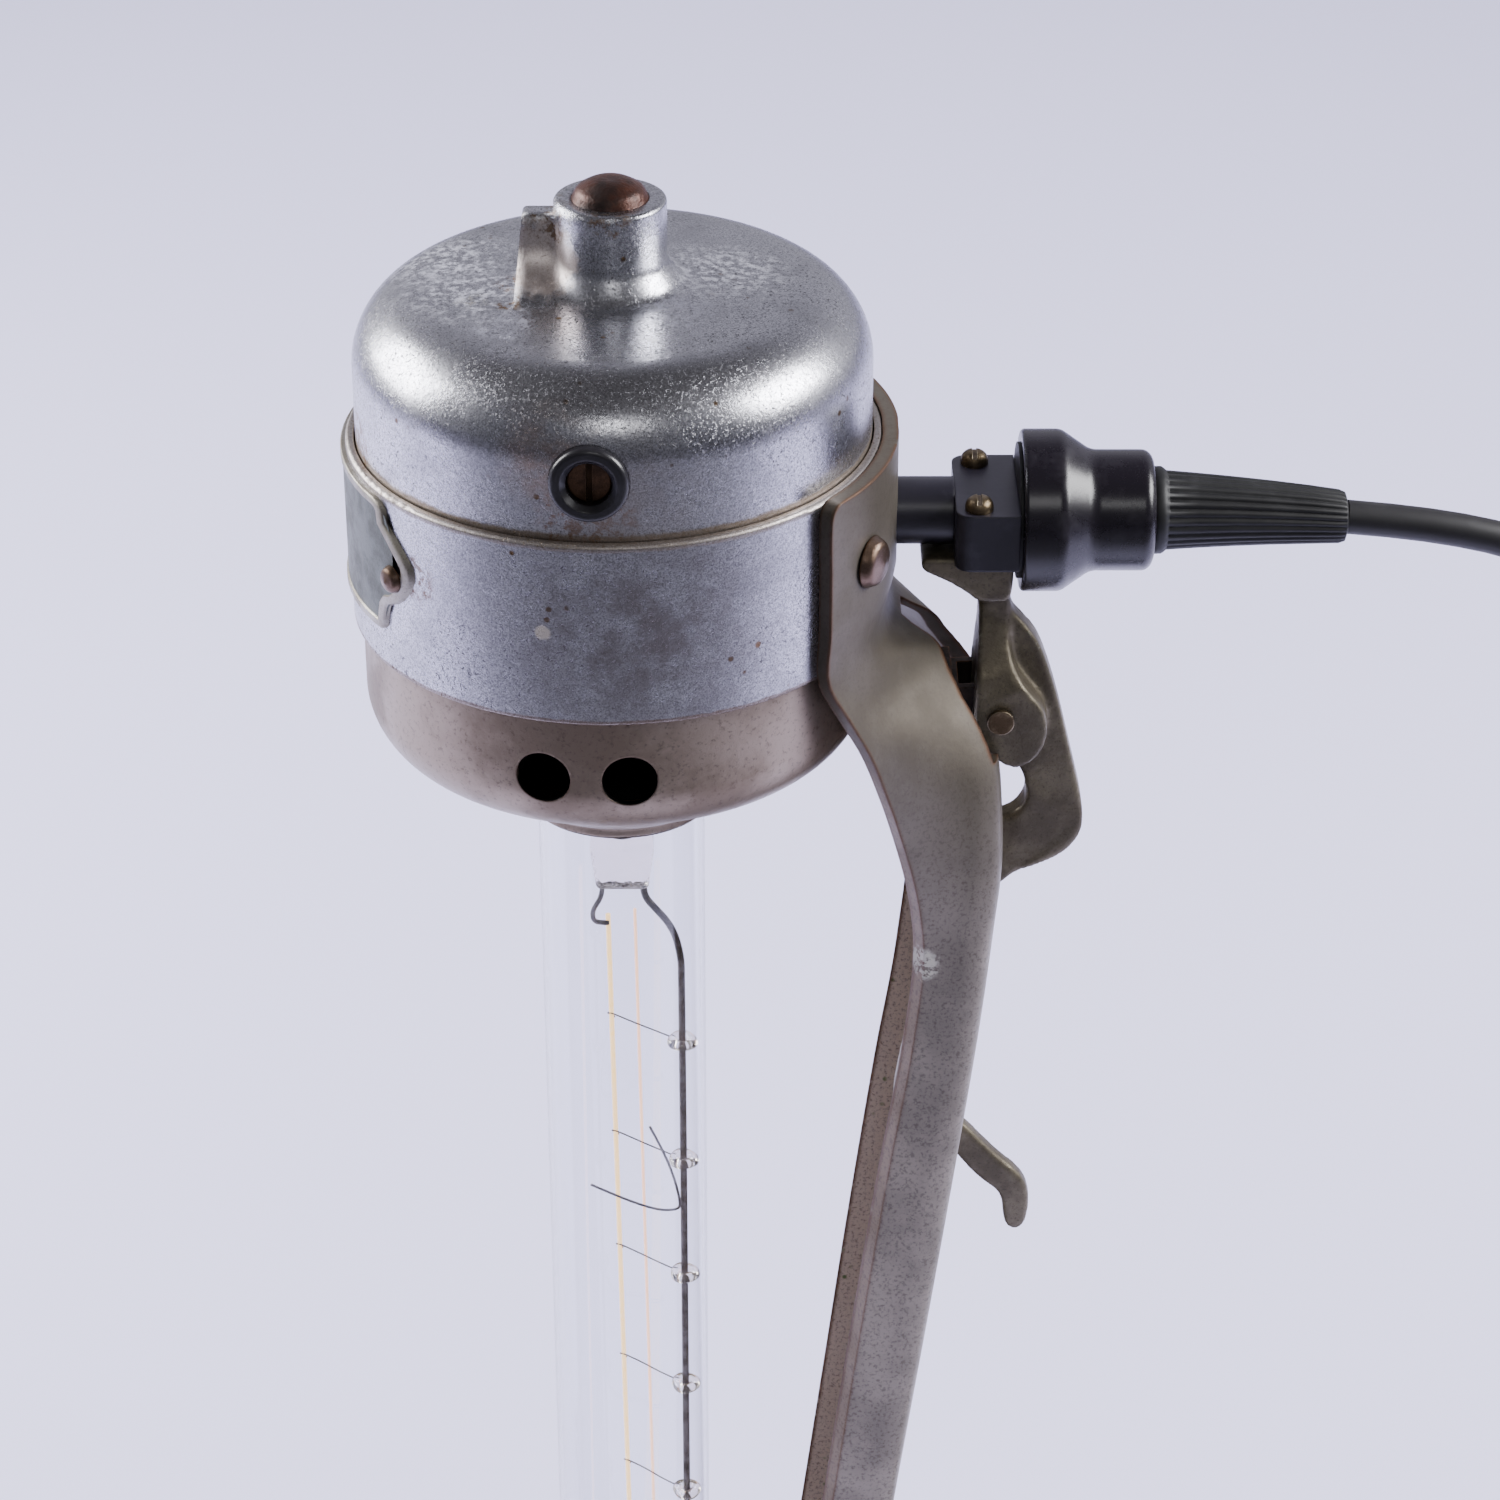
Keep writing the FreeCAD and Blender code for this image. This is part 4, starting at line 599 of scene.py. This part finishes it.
def loft(shape, rings, closed=True):
    """Skin rings of equally many points and cap both ends, or skin open rows."""
    rows = [[shape.verts.new(place) for place in ring] for ring in rings]
    count = len(rows[0])
    for low, high in zip(rows, rows[1:]):
        for i in range(count if closed else count - 1):
            j = (i + 1) % count
            shape.faces.new((low[i], low[j], high[j], high[i]))
    if closed:
        shape.faces.new(rows[0])
        shape.faces.new(list(reversed(rows[-1])))


def wrap(shape, rings):
    """Skin rings that follow each other round a closed loop."""
    rows = [[shape.verts.new(place) for place in ring] for ring in rings]
    count = len(rows[0])
    for low, high in zip(rows, rows[1:] + rows[:1]):
        for i in range(count):
            j = (i + 1) % count
            shape.faces.new((low[i], low[j], high[j], high[i]))


def strain_relief(material):
    """Tapered rubber relief, ribbed along its length, drooping a little with the lead's weight."""
    profile = ((0.0990, 7.9), (0.0994, 8.1), (0.1006, 8.1), (0.1012, 7.7), (0.1016, 7.35), (0.107, 6.95),
               (0.114, 6.45), (0.121, 5.95), (0.128, 5.45), (0.1335, 5.0), (0.1346, 4.6), (0.1350, 3.4))
    ribs = 26
    around = ribs * 8
    rings = []
    for x, radius in profile:
        drop = 1.4e-3 * ((x - 0.099) / 0.036) ** 2
        depth = 0.34 if 0.1012 < x < 0.134 else 0.0
        ring = []
        for i in range(around):
            angle = 2 * math.pi * i / around
            wave = 0.5 - 0.5 * math.cos(ribs * angle)
            r = (radius - depth * wave ** 2) / 1000
            ring.append((x, r * math.sin(angle), PLUG_Z - drop + r * math.cos(angle)))
        rings.append(ring)
    shape = bmesh.new()
    loft(shape, rings)
    mesh_piece("relief", shape, material, "root", ("strain_relief",))


PLATE_HALF = (
    (0, 34), (26.6, 34), (28.2, 33.5), (29.2, 32.2), (29.4, 30.0), (30.6, 29.0), (32.4, 27.0), (33.9, 25.1),
    (34.9, 23.4), (35.0, 21.4), (34.1, 18.7), (32.7, 16.4), (31.2, 14.8), (29.6, 14.0), (29.0, 13.0),
    (28.6, 11.0), (28.2, 8.9), (27.4, 8.0), (25, 7.8), (0, 7),
)


FIELD_HALF = 31.2


def badge(border, field):
    """Blank shaped plate bent to the shell: a raised border round a sunk field."""
    outer = list(PLATE_HALF) + [(-y, z) for y, z in reversed(PLATE_HALF[1:-1])]
    dense = []
    for (ya, za), (yb, zb) in zip(outer, outer[1:] + outer[:1]):
        steps = max(1, int(abs(yb - ya) / 3))
        dense += [(ya + (yb - ya) * k / steps, za + (zb - za) * k / steps) for k in range(steps)]

    def inset(amount):
        moved = []
        for i, (y, z) in enumerate(dense):
            (ya, za), (yb, zb) = dense[i - 1], dense[(i + 1) % len(dense)]
            run = Vector((yb - ya, zb - za)).normalized()
            moved.append((y + run.y * amount, z - run.x * amount))
        return moved

    def bent(points, radius):
        return [millimetres(-math.sqrt(max(radius ** 2 - y ** 2, 0)), y, z) for y, z in points]

    raised = bmesh.new()
    loft(raised, [bent(dense, 49.02), bent(dense, 49.75), bent(inset(0.25), 49.95),
                  bent(inset(1.5), 49.95), bent(inset(1.75), 49.55)])
    ends = [face for face in raised.faces if len(face.verts) > 4]
    bmesh.ops.delete(raised, geom=ends, context="FACES_ONLY")
    mesh_piece("badge_border", raised, border, "root", ("name_plate",))

    sunk = bmesh.new()
    edge = inset(1.6)
    columns = []
    for k in range(41):
        y = FIELD_HALF * (k / 20 - 1)
        heights = [z for place, z in edge if abs(place - y) < 2.2]
        low, high = min(heights), max(heights)
        columns.append(bent([(y, low + (high - low) * step / 6) for step in range(7)], 49.6))
    loft(sunk, columns, False)
    mesh_piece("badge_field", sunk, field, "root", ())


# Column sections from the fold down, in millimetres: height, leading edge x and half-width, back face x
# and the half-width of its corner, and the outside radius of that corner.
COLUMN = (
    (-8, 42.7, 33.0, 62.6, 3.0, 6), (-16, 46.6, 31.8, 67.3, 8.4, 6), (-27, 50.2, 29.6, 71.1, 14.6, 5),
    (-38, 53.2, 26.7, 72.2, 18.4, 5), (-50, 56.0, 24.2, 72.4, 20.4, 5), (-64, 57.8, 22.1, 71.3, 21.2, 5),
    (-87, 56.3, 21.4, 69.2, 21.4, 5), (-115, 52.4, 21.3, 66.0, 21.3, 5), (-157, 47.1, 21.3, 60.9, 21.3, 5),
    (-199, 42.2, 21.3, 55.6, 21.3, 5), (-313.4, 28.56, 21.3, 41.96, 21.3, 5),
)
COLUMN_WALL = 2.8
# The saddle round the shell: outside and inside radius, the angle to its ends, and its rounded top edge.
SADDLE = (52, 49.05, 41)
SADDLE_TOP, SADDLE_ROUND = 35.4, 3


def channel_half(row, depth):
    """Half of a channel section, from its leading edge to its back, moved in by depth."""
    lead, sharp = Vector(row[1:3]), Vector(row[3:5])
    side = (sharp - lead).normalized()
    inward = Vector((side.y, -side.x))
    lead += inward * depth - side * max(depth * (0.68 + inward.x), 0)
    half = (-side).angle(Vector((0, -1))) / 2
    sharp -= Vector((depth, depth / math.tan(half)))
    reach = min(max(row[5] - depth, 1.2) / math.tan(half), sharp.y * 0.9)
    first, last = sharp - side * reach, sharp - Vector((0, reach))
    return [lead, lead.lerp(first, 0.33), lead.lerp(first, 0.67), first, (first + last) / 4 + sharp / 2, last,
            Vector((sharp.x, last.y / 2))]


def saddle_half(radius, inset):
    """Half of the saddle's arc, its end drawn in by inset."""
    angle = math.radians(SADDLE[2]) - inset / radius
    return [Vector((radius * math.cos(a), radius * math.sin(a)))
            for a in (angle * part for part in (1, 0.82, 0.64, 0.46, 0.34, 0.22, 0.11))]


def through(keys, places, wanted):
    """Smooth values at wanted places from keys, lists of vectors, at rising places."""
    slopes = []
    for i in range(len(keys)):
        a, b = max(i - 1, 0), min(i + 1, len(keys) - 1)
        before = (keys[i] - keys[a]) / (places[i] - places[a]) if a < i else None
        after = (keys[b] - keys[i]) / (places[b] - places[i]) if b > i else None
        if before is None or after is None:
            slopes.append(after if before is None else before)
        else:
            share = (places[b] - places[i]) / (places[b] - places[a])
            slopes.append(before * share + after * (1 - share))
    result = []
    for place in wanted:
        i = max(k for k in range(len(places) - 1) if k == 0 or places[k] <= place)
        width = places[i + 1] - places[i]
        u = (place - places[i]) / width
        result.append(keys[i] * (2 * u ** 3 - 3 * u ** 2 + 1) + slopes[i] * width * (u ** 3 - 2 * u ** 2 + u)
                      + keys[i + 1] * (3 * u ** 2 - 2 * u ** 3) + slopes[i + 1] * width * (u ** 3 - u ** 2))
    return result


def section_curve(half):
    """A dense smooth curve through half a section and its mirror image."""
    points = half + [Vector((half[-1].x, 0))] + [Vector((p.x, -p.y)) for p in reversed(half)]
    places = [0.0]
    for a, b in zip(points, points[1:]):
        places.append(places[-1] + (b - a).length)
    wanted = []
    for a, b in zip(places, places[1:]):
        wanted += [a + (b - a) * k / 6 for k in range(6)]
    return through(points, places, wanted + [places[-1]])


def column_rings():
    """Closed sections of the whole pressed column, from its foot up to the saddle's rounded top."""
    heights, curves = [], []
    for row in reversed(COLUMN):
        heights.append(row[0])
        curves.append((section_curve(channel_half(row, 0)), section_curve(channel_half(row, COLUMN_WALL))))
    for z in (-1, 10, 22, 32.4, 33.0, 33.7, 34.4, 34.9, 35.25, SADDLE_TOP):
        risen = max(z - SADDLE_TOP + SADDLE_ROUND, 0)
        inset = SADDLE_ROUND - math.sqrt(max(SADDLE_ROUND ** 2 - risen ** 2, 0))
        heights.append(z)
        curves.append(tuple(section_curve(saddle_half(radius, inset)) for radius in SADDLE[:2]))
    wanted = []
    for a, b in zip(heights, heights[1:]):
        steps = max(1, round((b - a) / 2.5))
        wanted += [a + (b - a) * k / steps for k in range(steps)]
    wanted.append(heights[-1])
    lines = []
    for wall in (0, 1):
        for i in range(len(curves[0][0])):
            lines.append(through([curve[wall][i] for curve in curves], heights, wanted))
    half = len(lines) // 2
    order = lines[:half] + lines[half:][::-1]
    return [[(line[k].x / 1000, line[k].y / 1000, HEAD + z / 1000) for line in order]
            for k, z in enumerate(wanted)]


def solid(name, rings):
    """A closed object lofted through rings given in millimetres about the housing's lower edge."""
    shape = bmesh.new()
    loft(shape, [[millimetres(*place) for place in ring] for ring in rings])
    return mesh_object(name, shape)


def prism(name, outline, low_x, high_x):
    """An outline in Y and Z, drawn out along X."""
    return solid(name, [[(x, y, z) for y, z in outline] for x in (low_x, high_x)])


def block(name, low, high):
    """A box between two corners."""
    (ax, ay, az), (bx, by, bz) = low, high
    return solid(name, [[(ax, ay, z), (bx, ay, z), (bx, by, z), (ax, by, z)] for z in (az, bz)])


def rod(name, x, z, radius, low_y, high_y):
    """A round rod along Y."""
    ring = [(x + radius * math.cos(a), z + radius * math.sin(a))
            for a in (math.pi * k / 20 for k in range(40))]
    return solid(name, [[(px, y, pz) for px, pz in ring] for y in (low_y, high_y)])


def settle(item, cutters, angle):
    """Apply an object's modifiers and the cutters, then shade it smooth but for sharp edges."""
    for cutter in cutters:
        tool = item.modifiers.new(cutter.name, "BOOLEAN")
        tool.operation = "DIFFERENCE"
        tool.solver = "EXACT"
        tool.object = cutter
    result = bpy.data.meshes.new_from_object(item.evaluated_get(bpy.context.evaluated_depsgraph_get()))
    item.modifiers.clear()
    item.data = result
    for cutter in cutters:
        bpy.data.objects.remove(cutter)
    shade(item, angle)


def column(material):
    """The pressed column as one smooth sheet, with its openings cut through."""
    shape = bmesh.new()
    loft(shape, column_rings())
    item = mesh_object("column_sheet", shape)
    opening = ((0, 6), (-5.9, -7.5), (-11.2, -15.5), (-15, -27.5), (-10.5, -28), (-10, -34),
               (10, -34), (10.5, -28), (15, -27.5), (11.2, -15.5), (5.9, -7.5))
    settle(item, [prism("opening_cutter", opening, 53, 90),
                  block("loop_cutter", (62, -3.1, -66.5), (84, 3.1, -41.5)),
                  block("finger_cutter", (56, -2.6, -129.5), (76, 2.6, -109.6))], 32)
    paint(item, material)
    declare(item, "root", ("yoke_column",))


# Side views of the cast lever's parts, X and Z in millimetres.
CRADLE = ((56.3, 8.8), (60.5, 6.9), (64.7, 4.4), (66.6, 2.4), (72.9, 2.4), (73.4, 5.2), (73.6, 11.3),
          (56.4, 11.3))
WEB = ((66.4, 5.5), (67.6, -1.5), (66.9, -12), (66.6, -22), (68, -28.5), (74.6, -34), (77, -36.4), (78, -43),
       (74.8, -46.6), (70.6, -47), (65, -50), (61.4, -61), (64.6, -63.4), (73.0, -62.6), (75.6, -59.1),
       (84.7, -55.4), (88.9, -50), (88.5, -43), (86.6, -35.4), (83.4, -22), (81.2, -14.4), (79, -8.4),
       (76.2, -4.6), (73.4, -1.6), (73, 5.5))
EAR = ((67.6, 2), (67.3, -9.7), (66.9, -17.2), (66.4, -25.4), (74.1, -33.4), (80.4, -29), (80.9, -20.6),
       (75.6, -14.4), (73.3, -9.6), (73, 2))
ARM = ((60.8, -52), (60, -63), (57.2, -88), (53.2, -113), (54.4, -119.6), (63.6, -122.8), (71, -133),
       (76.1, -136.4), (76.7, -145.7), (81.3, -145.7), (81.9, -134), (73.8, -126.6), (67, -118.2),
       (56.4, -112.6), (60.6, -88), (64.4, -62.5), (65, -52))
PIVOT_X, PIVOT_Z, PIVOT_BORE = 71.8, -21.6, 2.05
CHEEK_INSIDE, CHEEK_OUTSIDE, SPRING_HALF = 4.05, 6.25, 2.3


def rounded(outline, reach):
    """The outline with each corner turned into a curve that starts up to reach before it."""
    points = [Vector(place) for place in outline]
    result = []
    for before, here, after in zip(points[-1:] + points[:-1], points, points[1:] + points[:1]):
        first = here + (before - here).normalized() * min(reach, (before - here).length * 0.46)
        last = here + (after - here).normalized() * min(reach, (after - here).length * 0.46)
        for k in range(5):
            result.append(first.lerp(here, k / 4).lerp(here.lerp(last, k / 4), k / 4))
    return result


def switch_lever(material):
    """The cast lever with its edges rounded off, slotted for the bracket and the spring."""
    # Each part's outline, the reach of its corners, and its half-width at a point.
    parts = (
        (CRADLE, 1.2, lambda x, z: 7),
        (WEB, 6, lambda x, z: 2.5 + 0.8 * min(max((x - 74) / 4, 0), 1)),
        (EAR, 5, lambda x, z: 9 - 5.6 * min(max((z + 14.5) / 9, 0), 1)),
        (ARM, 6, lambda x, z: 1.9),
    )
    shape = bmesh.new()
    for outline, reach, half in parts:
        edge = rounded(outline, reach)
        loft(shape, [[millimetres(p.x, side * half(p.x, p.y), p.y) for p in edge] for side in (-1, 1)])
    item = mesh_object("lever_casting", shape)
    voxels = item.modifiers.new("voxels", "REMESH")
    voxels.mode = "VOXEL"
    voxels.voxel_size = 0.0005
    soft = item.modifiers.new("soft", "SMOOTH")
    soft.factor = 0.5
    soft.iterations = 9
    x, z = PIVOT_X, PIVOT_Z
    cutters = [rod("pin_cutter", x, z, PIVOT_BORE, -12, 12),
               rod("spring_cutter", x, z, 5, -SPRING_HALF, SPRING_HALF),
               block("spring_way", (x - 18, -SPRING_HALF, z - 5), (x, SPRING_HALF, z + 5))]
    for low, high in ((-CHEEK_OUTSIDE, -CHEEK_INSIDE), (CHEEK_INSIDE, CHEEK_OUTSIDE)):
        cutters.append(rod("cheek_cutter", x, z, 6.6, low, high))
        cutters.append(block("cheek_way", (x - 18, low, z - 8), (x, high, z + 8)))
    settle(item, cutters, 45)
    paint(item, material)
    declare(item, "lever", ("switch_lever",))


def ring_bead(shape, centre, major, minor):
    """One small glass ring, a little out of round."""
    rings = []
    for turn in (2 * math.pi * k / 28 for k in range(28)):
        wobble = 1 + 0.07 * math.sin(3 * turn + centre[2] * 900)
        ring = []
        for angle in (2 * math.pi * k / 12 for k in range(12)):
            out = major * wobble + minor * math.cos(angle)
            ring.append(Vector(centre) + Vector((out * math.cos(turn), out * math.sin(turn),
                                                 minor * math.sin(angle))))
        rings.append(ring)
    wrap(shape, rings)


def lamp_wires(name, routes, radius, material, replaced):
    """Fine wires, given in millimetres, as one piece of the lamp."""
    item = wires(name, [[millimetres(*place) for place in route] for route in routes], radius, 3, 5)
    item.data.materials.append(material)
    declare(item, "lamp", replaced)


BEAD_PITCH = 28.8
BEADS = [-98 - BEAD_PITCH * number for number in range(6)]
WIRE_X, WIRE_Y = 11.2, -3
THREAD_TOP, THREAD_LOW, THREAD_LEAN = -74, -262, 2.4
# The two threads: where each stands, its radius and its finish.
THREADS = (("thread_a", -3.3, 6, 0.0005, "yellow"), ("thread_b", 2.0, 8, 0.00032, "pink"))


def lamp_inside(paints):
    """Glass rings on the support wire, hooked wires out to the threads, and two spring anchors."""
    beads = bmesh.new()
    hooks = []
    for z in BEADS:
        ring_bead(beads, millimetres(WIRE_X, WIRE_Y, z), 0.0019, 0.00105)
        x = THREADS[0][1] + THREAD_LEAN * (THREAD_TOP - z) / (THREAD_TOP - THREAD_LOW)
        hooks.append((
            (9.6, -2.0, z), (6.5, -0.1, z + 0.2), (x + 4, 3.2, z + 0.5), (x + 0.4, 5.3, z + 0.9),
            (x - 0.7, 5.9, z + 0.8), (x - 0.8, 6.7, z + 0.1), (x + 0.2, 6.7, z - 0.3),
            (x + 0.6, 5.9, z - 0.2)))
    mesh_piece("lamp_beads", beads, paints["bead"], "lamp", ("glass_beads",))
    lamp_wires("lamp_hooks", hooks, 0.00016, paints["steel"], ("filament_hooks",))
    for name, x, y, radius, colour in THREADS:
        route = [(x + THREAD_LEAN * share, y, THREAD_TOP + (THREAD_LOW - THREAD_TOP) * share)
                 for share in (0, 0.5, 1)]
        lamp_wires(name, [route], radius, paints[colour], ("filaments",) if name == "thread_a" else ())
    z = BEADS[0] - 1.4 * BEAD_PITCH
    anchors = ((-7.4, -4.6, z + 6.3), (-1, -4.4, z + 2.6), (6, -4, z - 0.6), (9.8, -3.6, z - 0.8),
               (10.6, -3.8, z + 0.6), (9.6, -4.6, z + 7), (7.5, -5.8, z + 15), (4.7, -6.6, z + 22))
    lamp_wires("lamp_anchors", [anchors], 0.00026, paints["steel"], ("anchor_springs",))


def lamp_sleeve(material):
    """Black sleeve in the fibre finish round the lamp's neck, within the housing: a dark piece put where the
    vents show only shade, which also keeps the lamp's light from the vents.
    """
    profile = ((17.6, -33.96), (17.3, -33.96), (17.3, -10.0), (14.0, -9.2), (14.0, -8.8), (17.6, -9.6))
    shape = bmesh.new()
    wrap(shape, [[millimetres(r * math.cos(a), r * math.sin(a), z) for r, z in profile]
                 for a in (2 * math.pi * k / 48 for k in range(48))])
    mesh_piece("neck_sleeve", shape, material, "root", ())


# ---- studio ----

def floor():
    """Pale paper, with painted shade darkening it towards and behind the camera."""
    shape = bmesh.new()
    loft(shape, [[(x, y, FLOOR_Z) for x in (-7, -2.4, 2.4, 7)] for y in (-7, -2.4, 2.4, 7)], False)
    item = mesh_object("floor", shape)
    finish = Finish("floor_paper", (0.74, 0.72, 0.88), 0.0, 0.85)
    paper = finish.mix(finish.noise(1.2, 2), (0.70, 0.68, 0.97), (0.745, 0.725, 1.0))
    # Painted shade: the paper turns dark towards and behind the camera.
    front = finish.span(finish.axis(1), -0.14, -0.46)
    finish.set("Base Color", finish.mix(front, paper, (0.145, 0.143, 0.165)))
    paint(item, finish.material)


def soft_box(name, place, aim, width, height, power, colour=(1, 1, 1)):
    """A rectangular light at a place, turned to face another."""
    data = bpy.data.lights.new(name, "AREA")
    data.shape = "RECTANGLE"
    data.size = width
    data.size_y = height
    data.energy = power
    data.color = colour
    item = link(bpy.data.objects.new(name, data))
    item.location = place
    item.rotation_euler = (Vector(aim) - Vector(place)).to_track_quat("-Z", "Y").to_euler()
    return item


def studio():
    """Soft boxes at both sides, one over the paper behind, in a room that is darker above and in front."""
    soft_box("left_box", (-1.05, 0.38, 0.80), (0, 0, 0.36), 0.80, 0.62, 31, (0.98, 0.98, 1))
    soft_box("right_box", (1.06, -0.02, 0.93), (0, 0, 0.36), 0.70, 0.50, 27, (0.98, 0.98, 1))
    paper = soft_box("paper_box", (0.05, 1.15, 2.3), (0.05, 0.95, 0), 1.9, 1.1, 62, (0.90, 0.90, 1))
    paper.visible_glossy = False
    soft_box("front_fill", (0.1, -1.5, 1.5), (0, 0, 0.3), 0.5, 0.4, 3)
    world = bpy.data.worlds.new("room")
    bpy.context.scene.world = world
    world.use_nodes = True
    room = Nodes(world.node_tree, "Generated")
    around = room.mix(room.span(room.axis(1), -0.6, 0.65), (0.12, 0.12, 0.14), (0.50, 0.49, 0.57))
    colour = room.mix(room.span(room.axis(2), 0.45, 0.9), around, (0.09, 0.085, 0.09))
    ground = room.tree.nodes["Background"]
    room.feed(ground.inputs["Color"], colour)
    ground.inputs["Strength"].default_value = 1


def main():
    camera()
    cord = lead()
    paints = finishes()
    cord.data.materials.append(paints["sheath"])
    for name, key in PAINTED.items():
        paint(nodes[name], paints[key])
    strain_relief(paints["rubber"])
    badge(paints["plate"], paints["field"])
    column(paints["column"])
    switch_lever(paints["lever"])
    lamp_inside(paints)
    lamp_sleeve(paints["fibre"])
    floor()
    studio()


main()
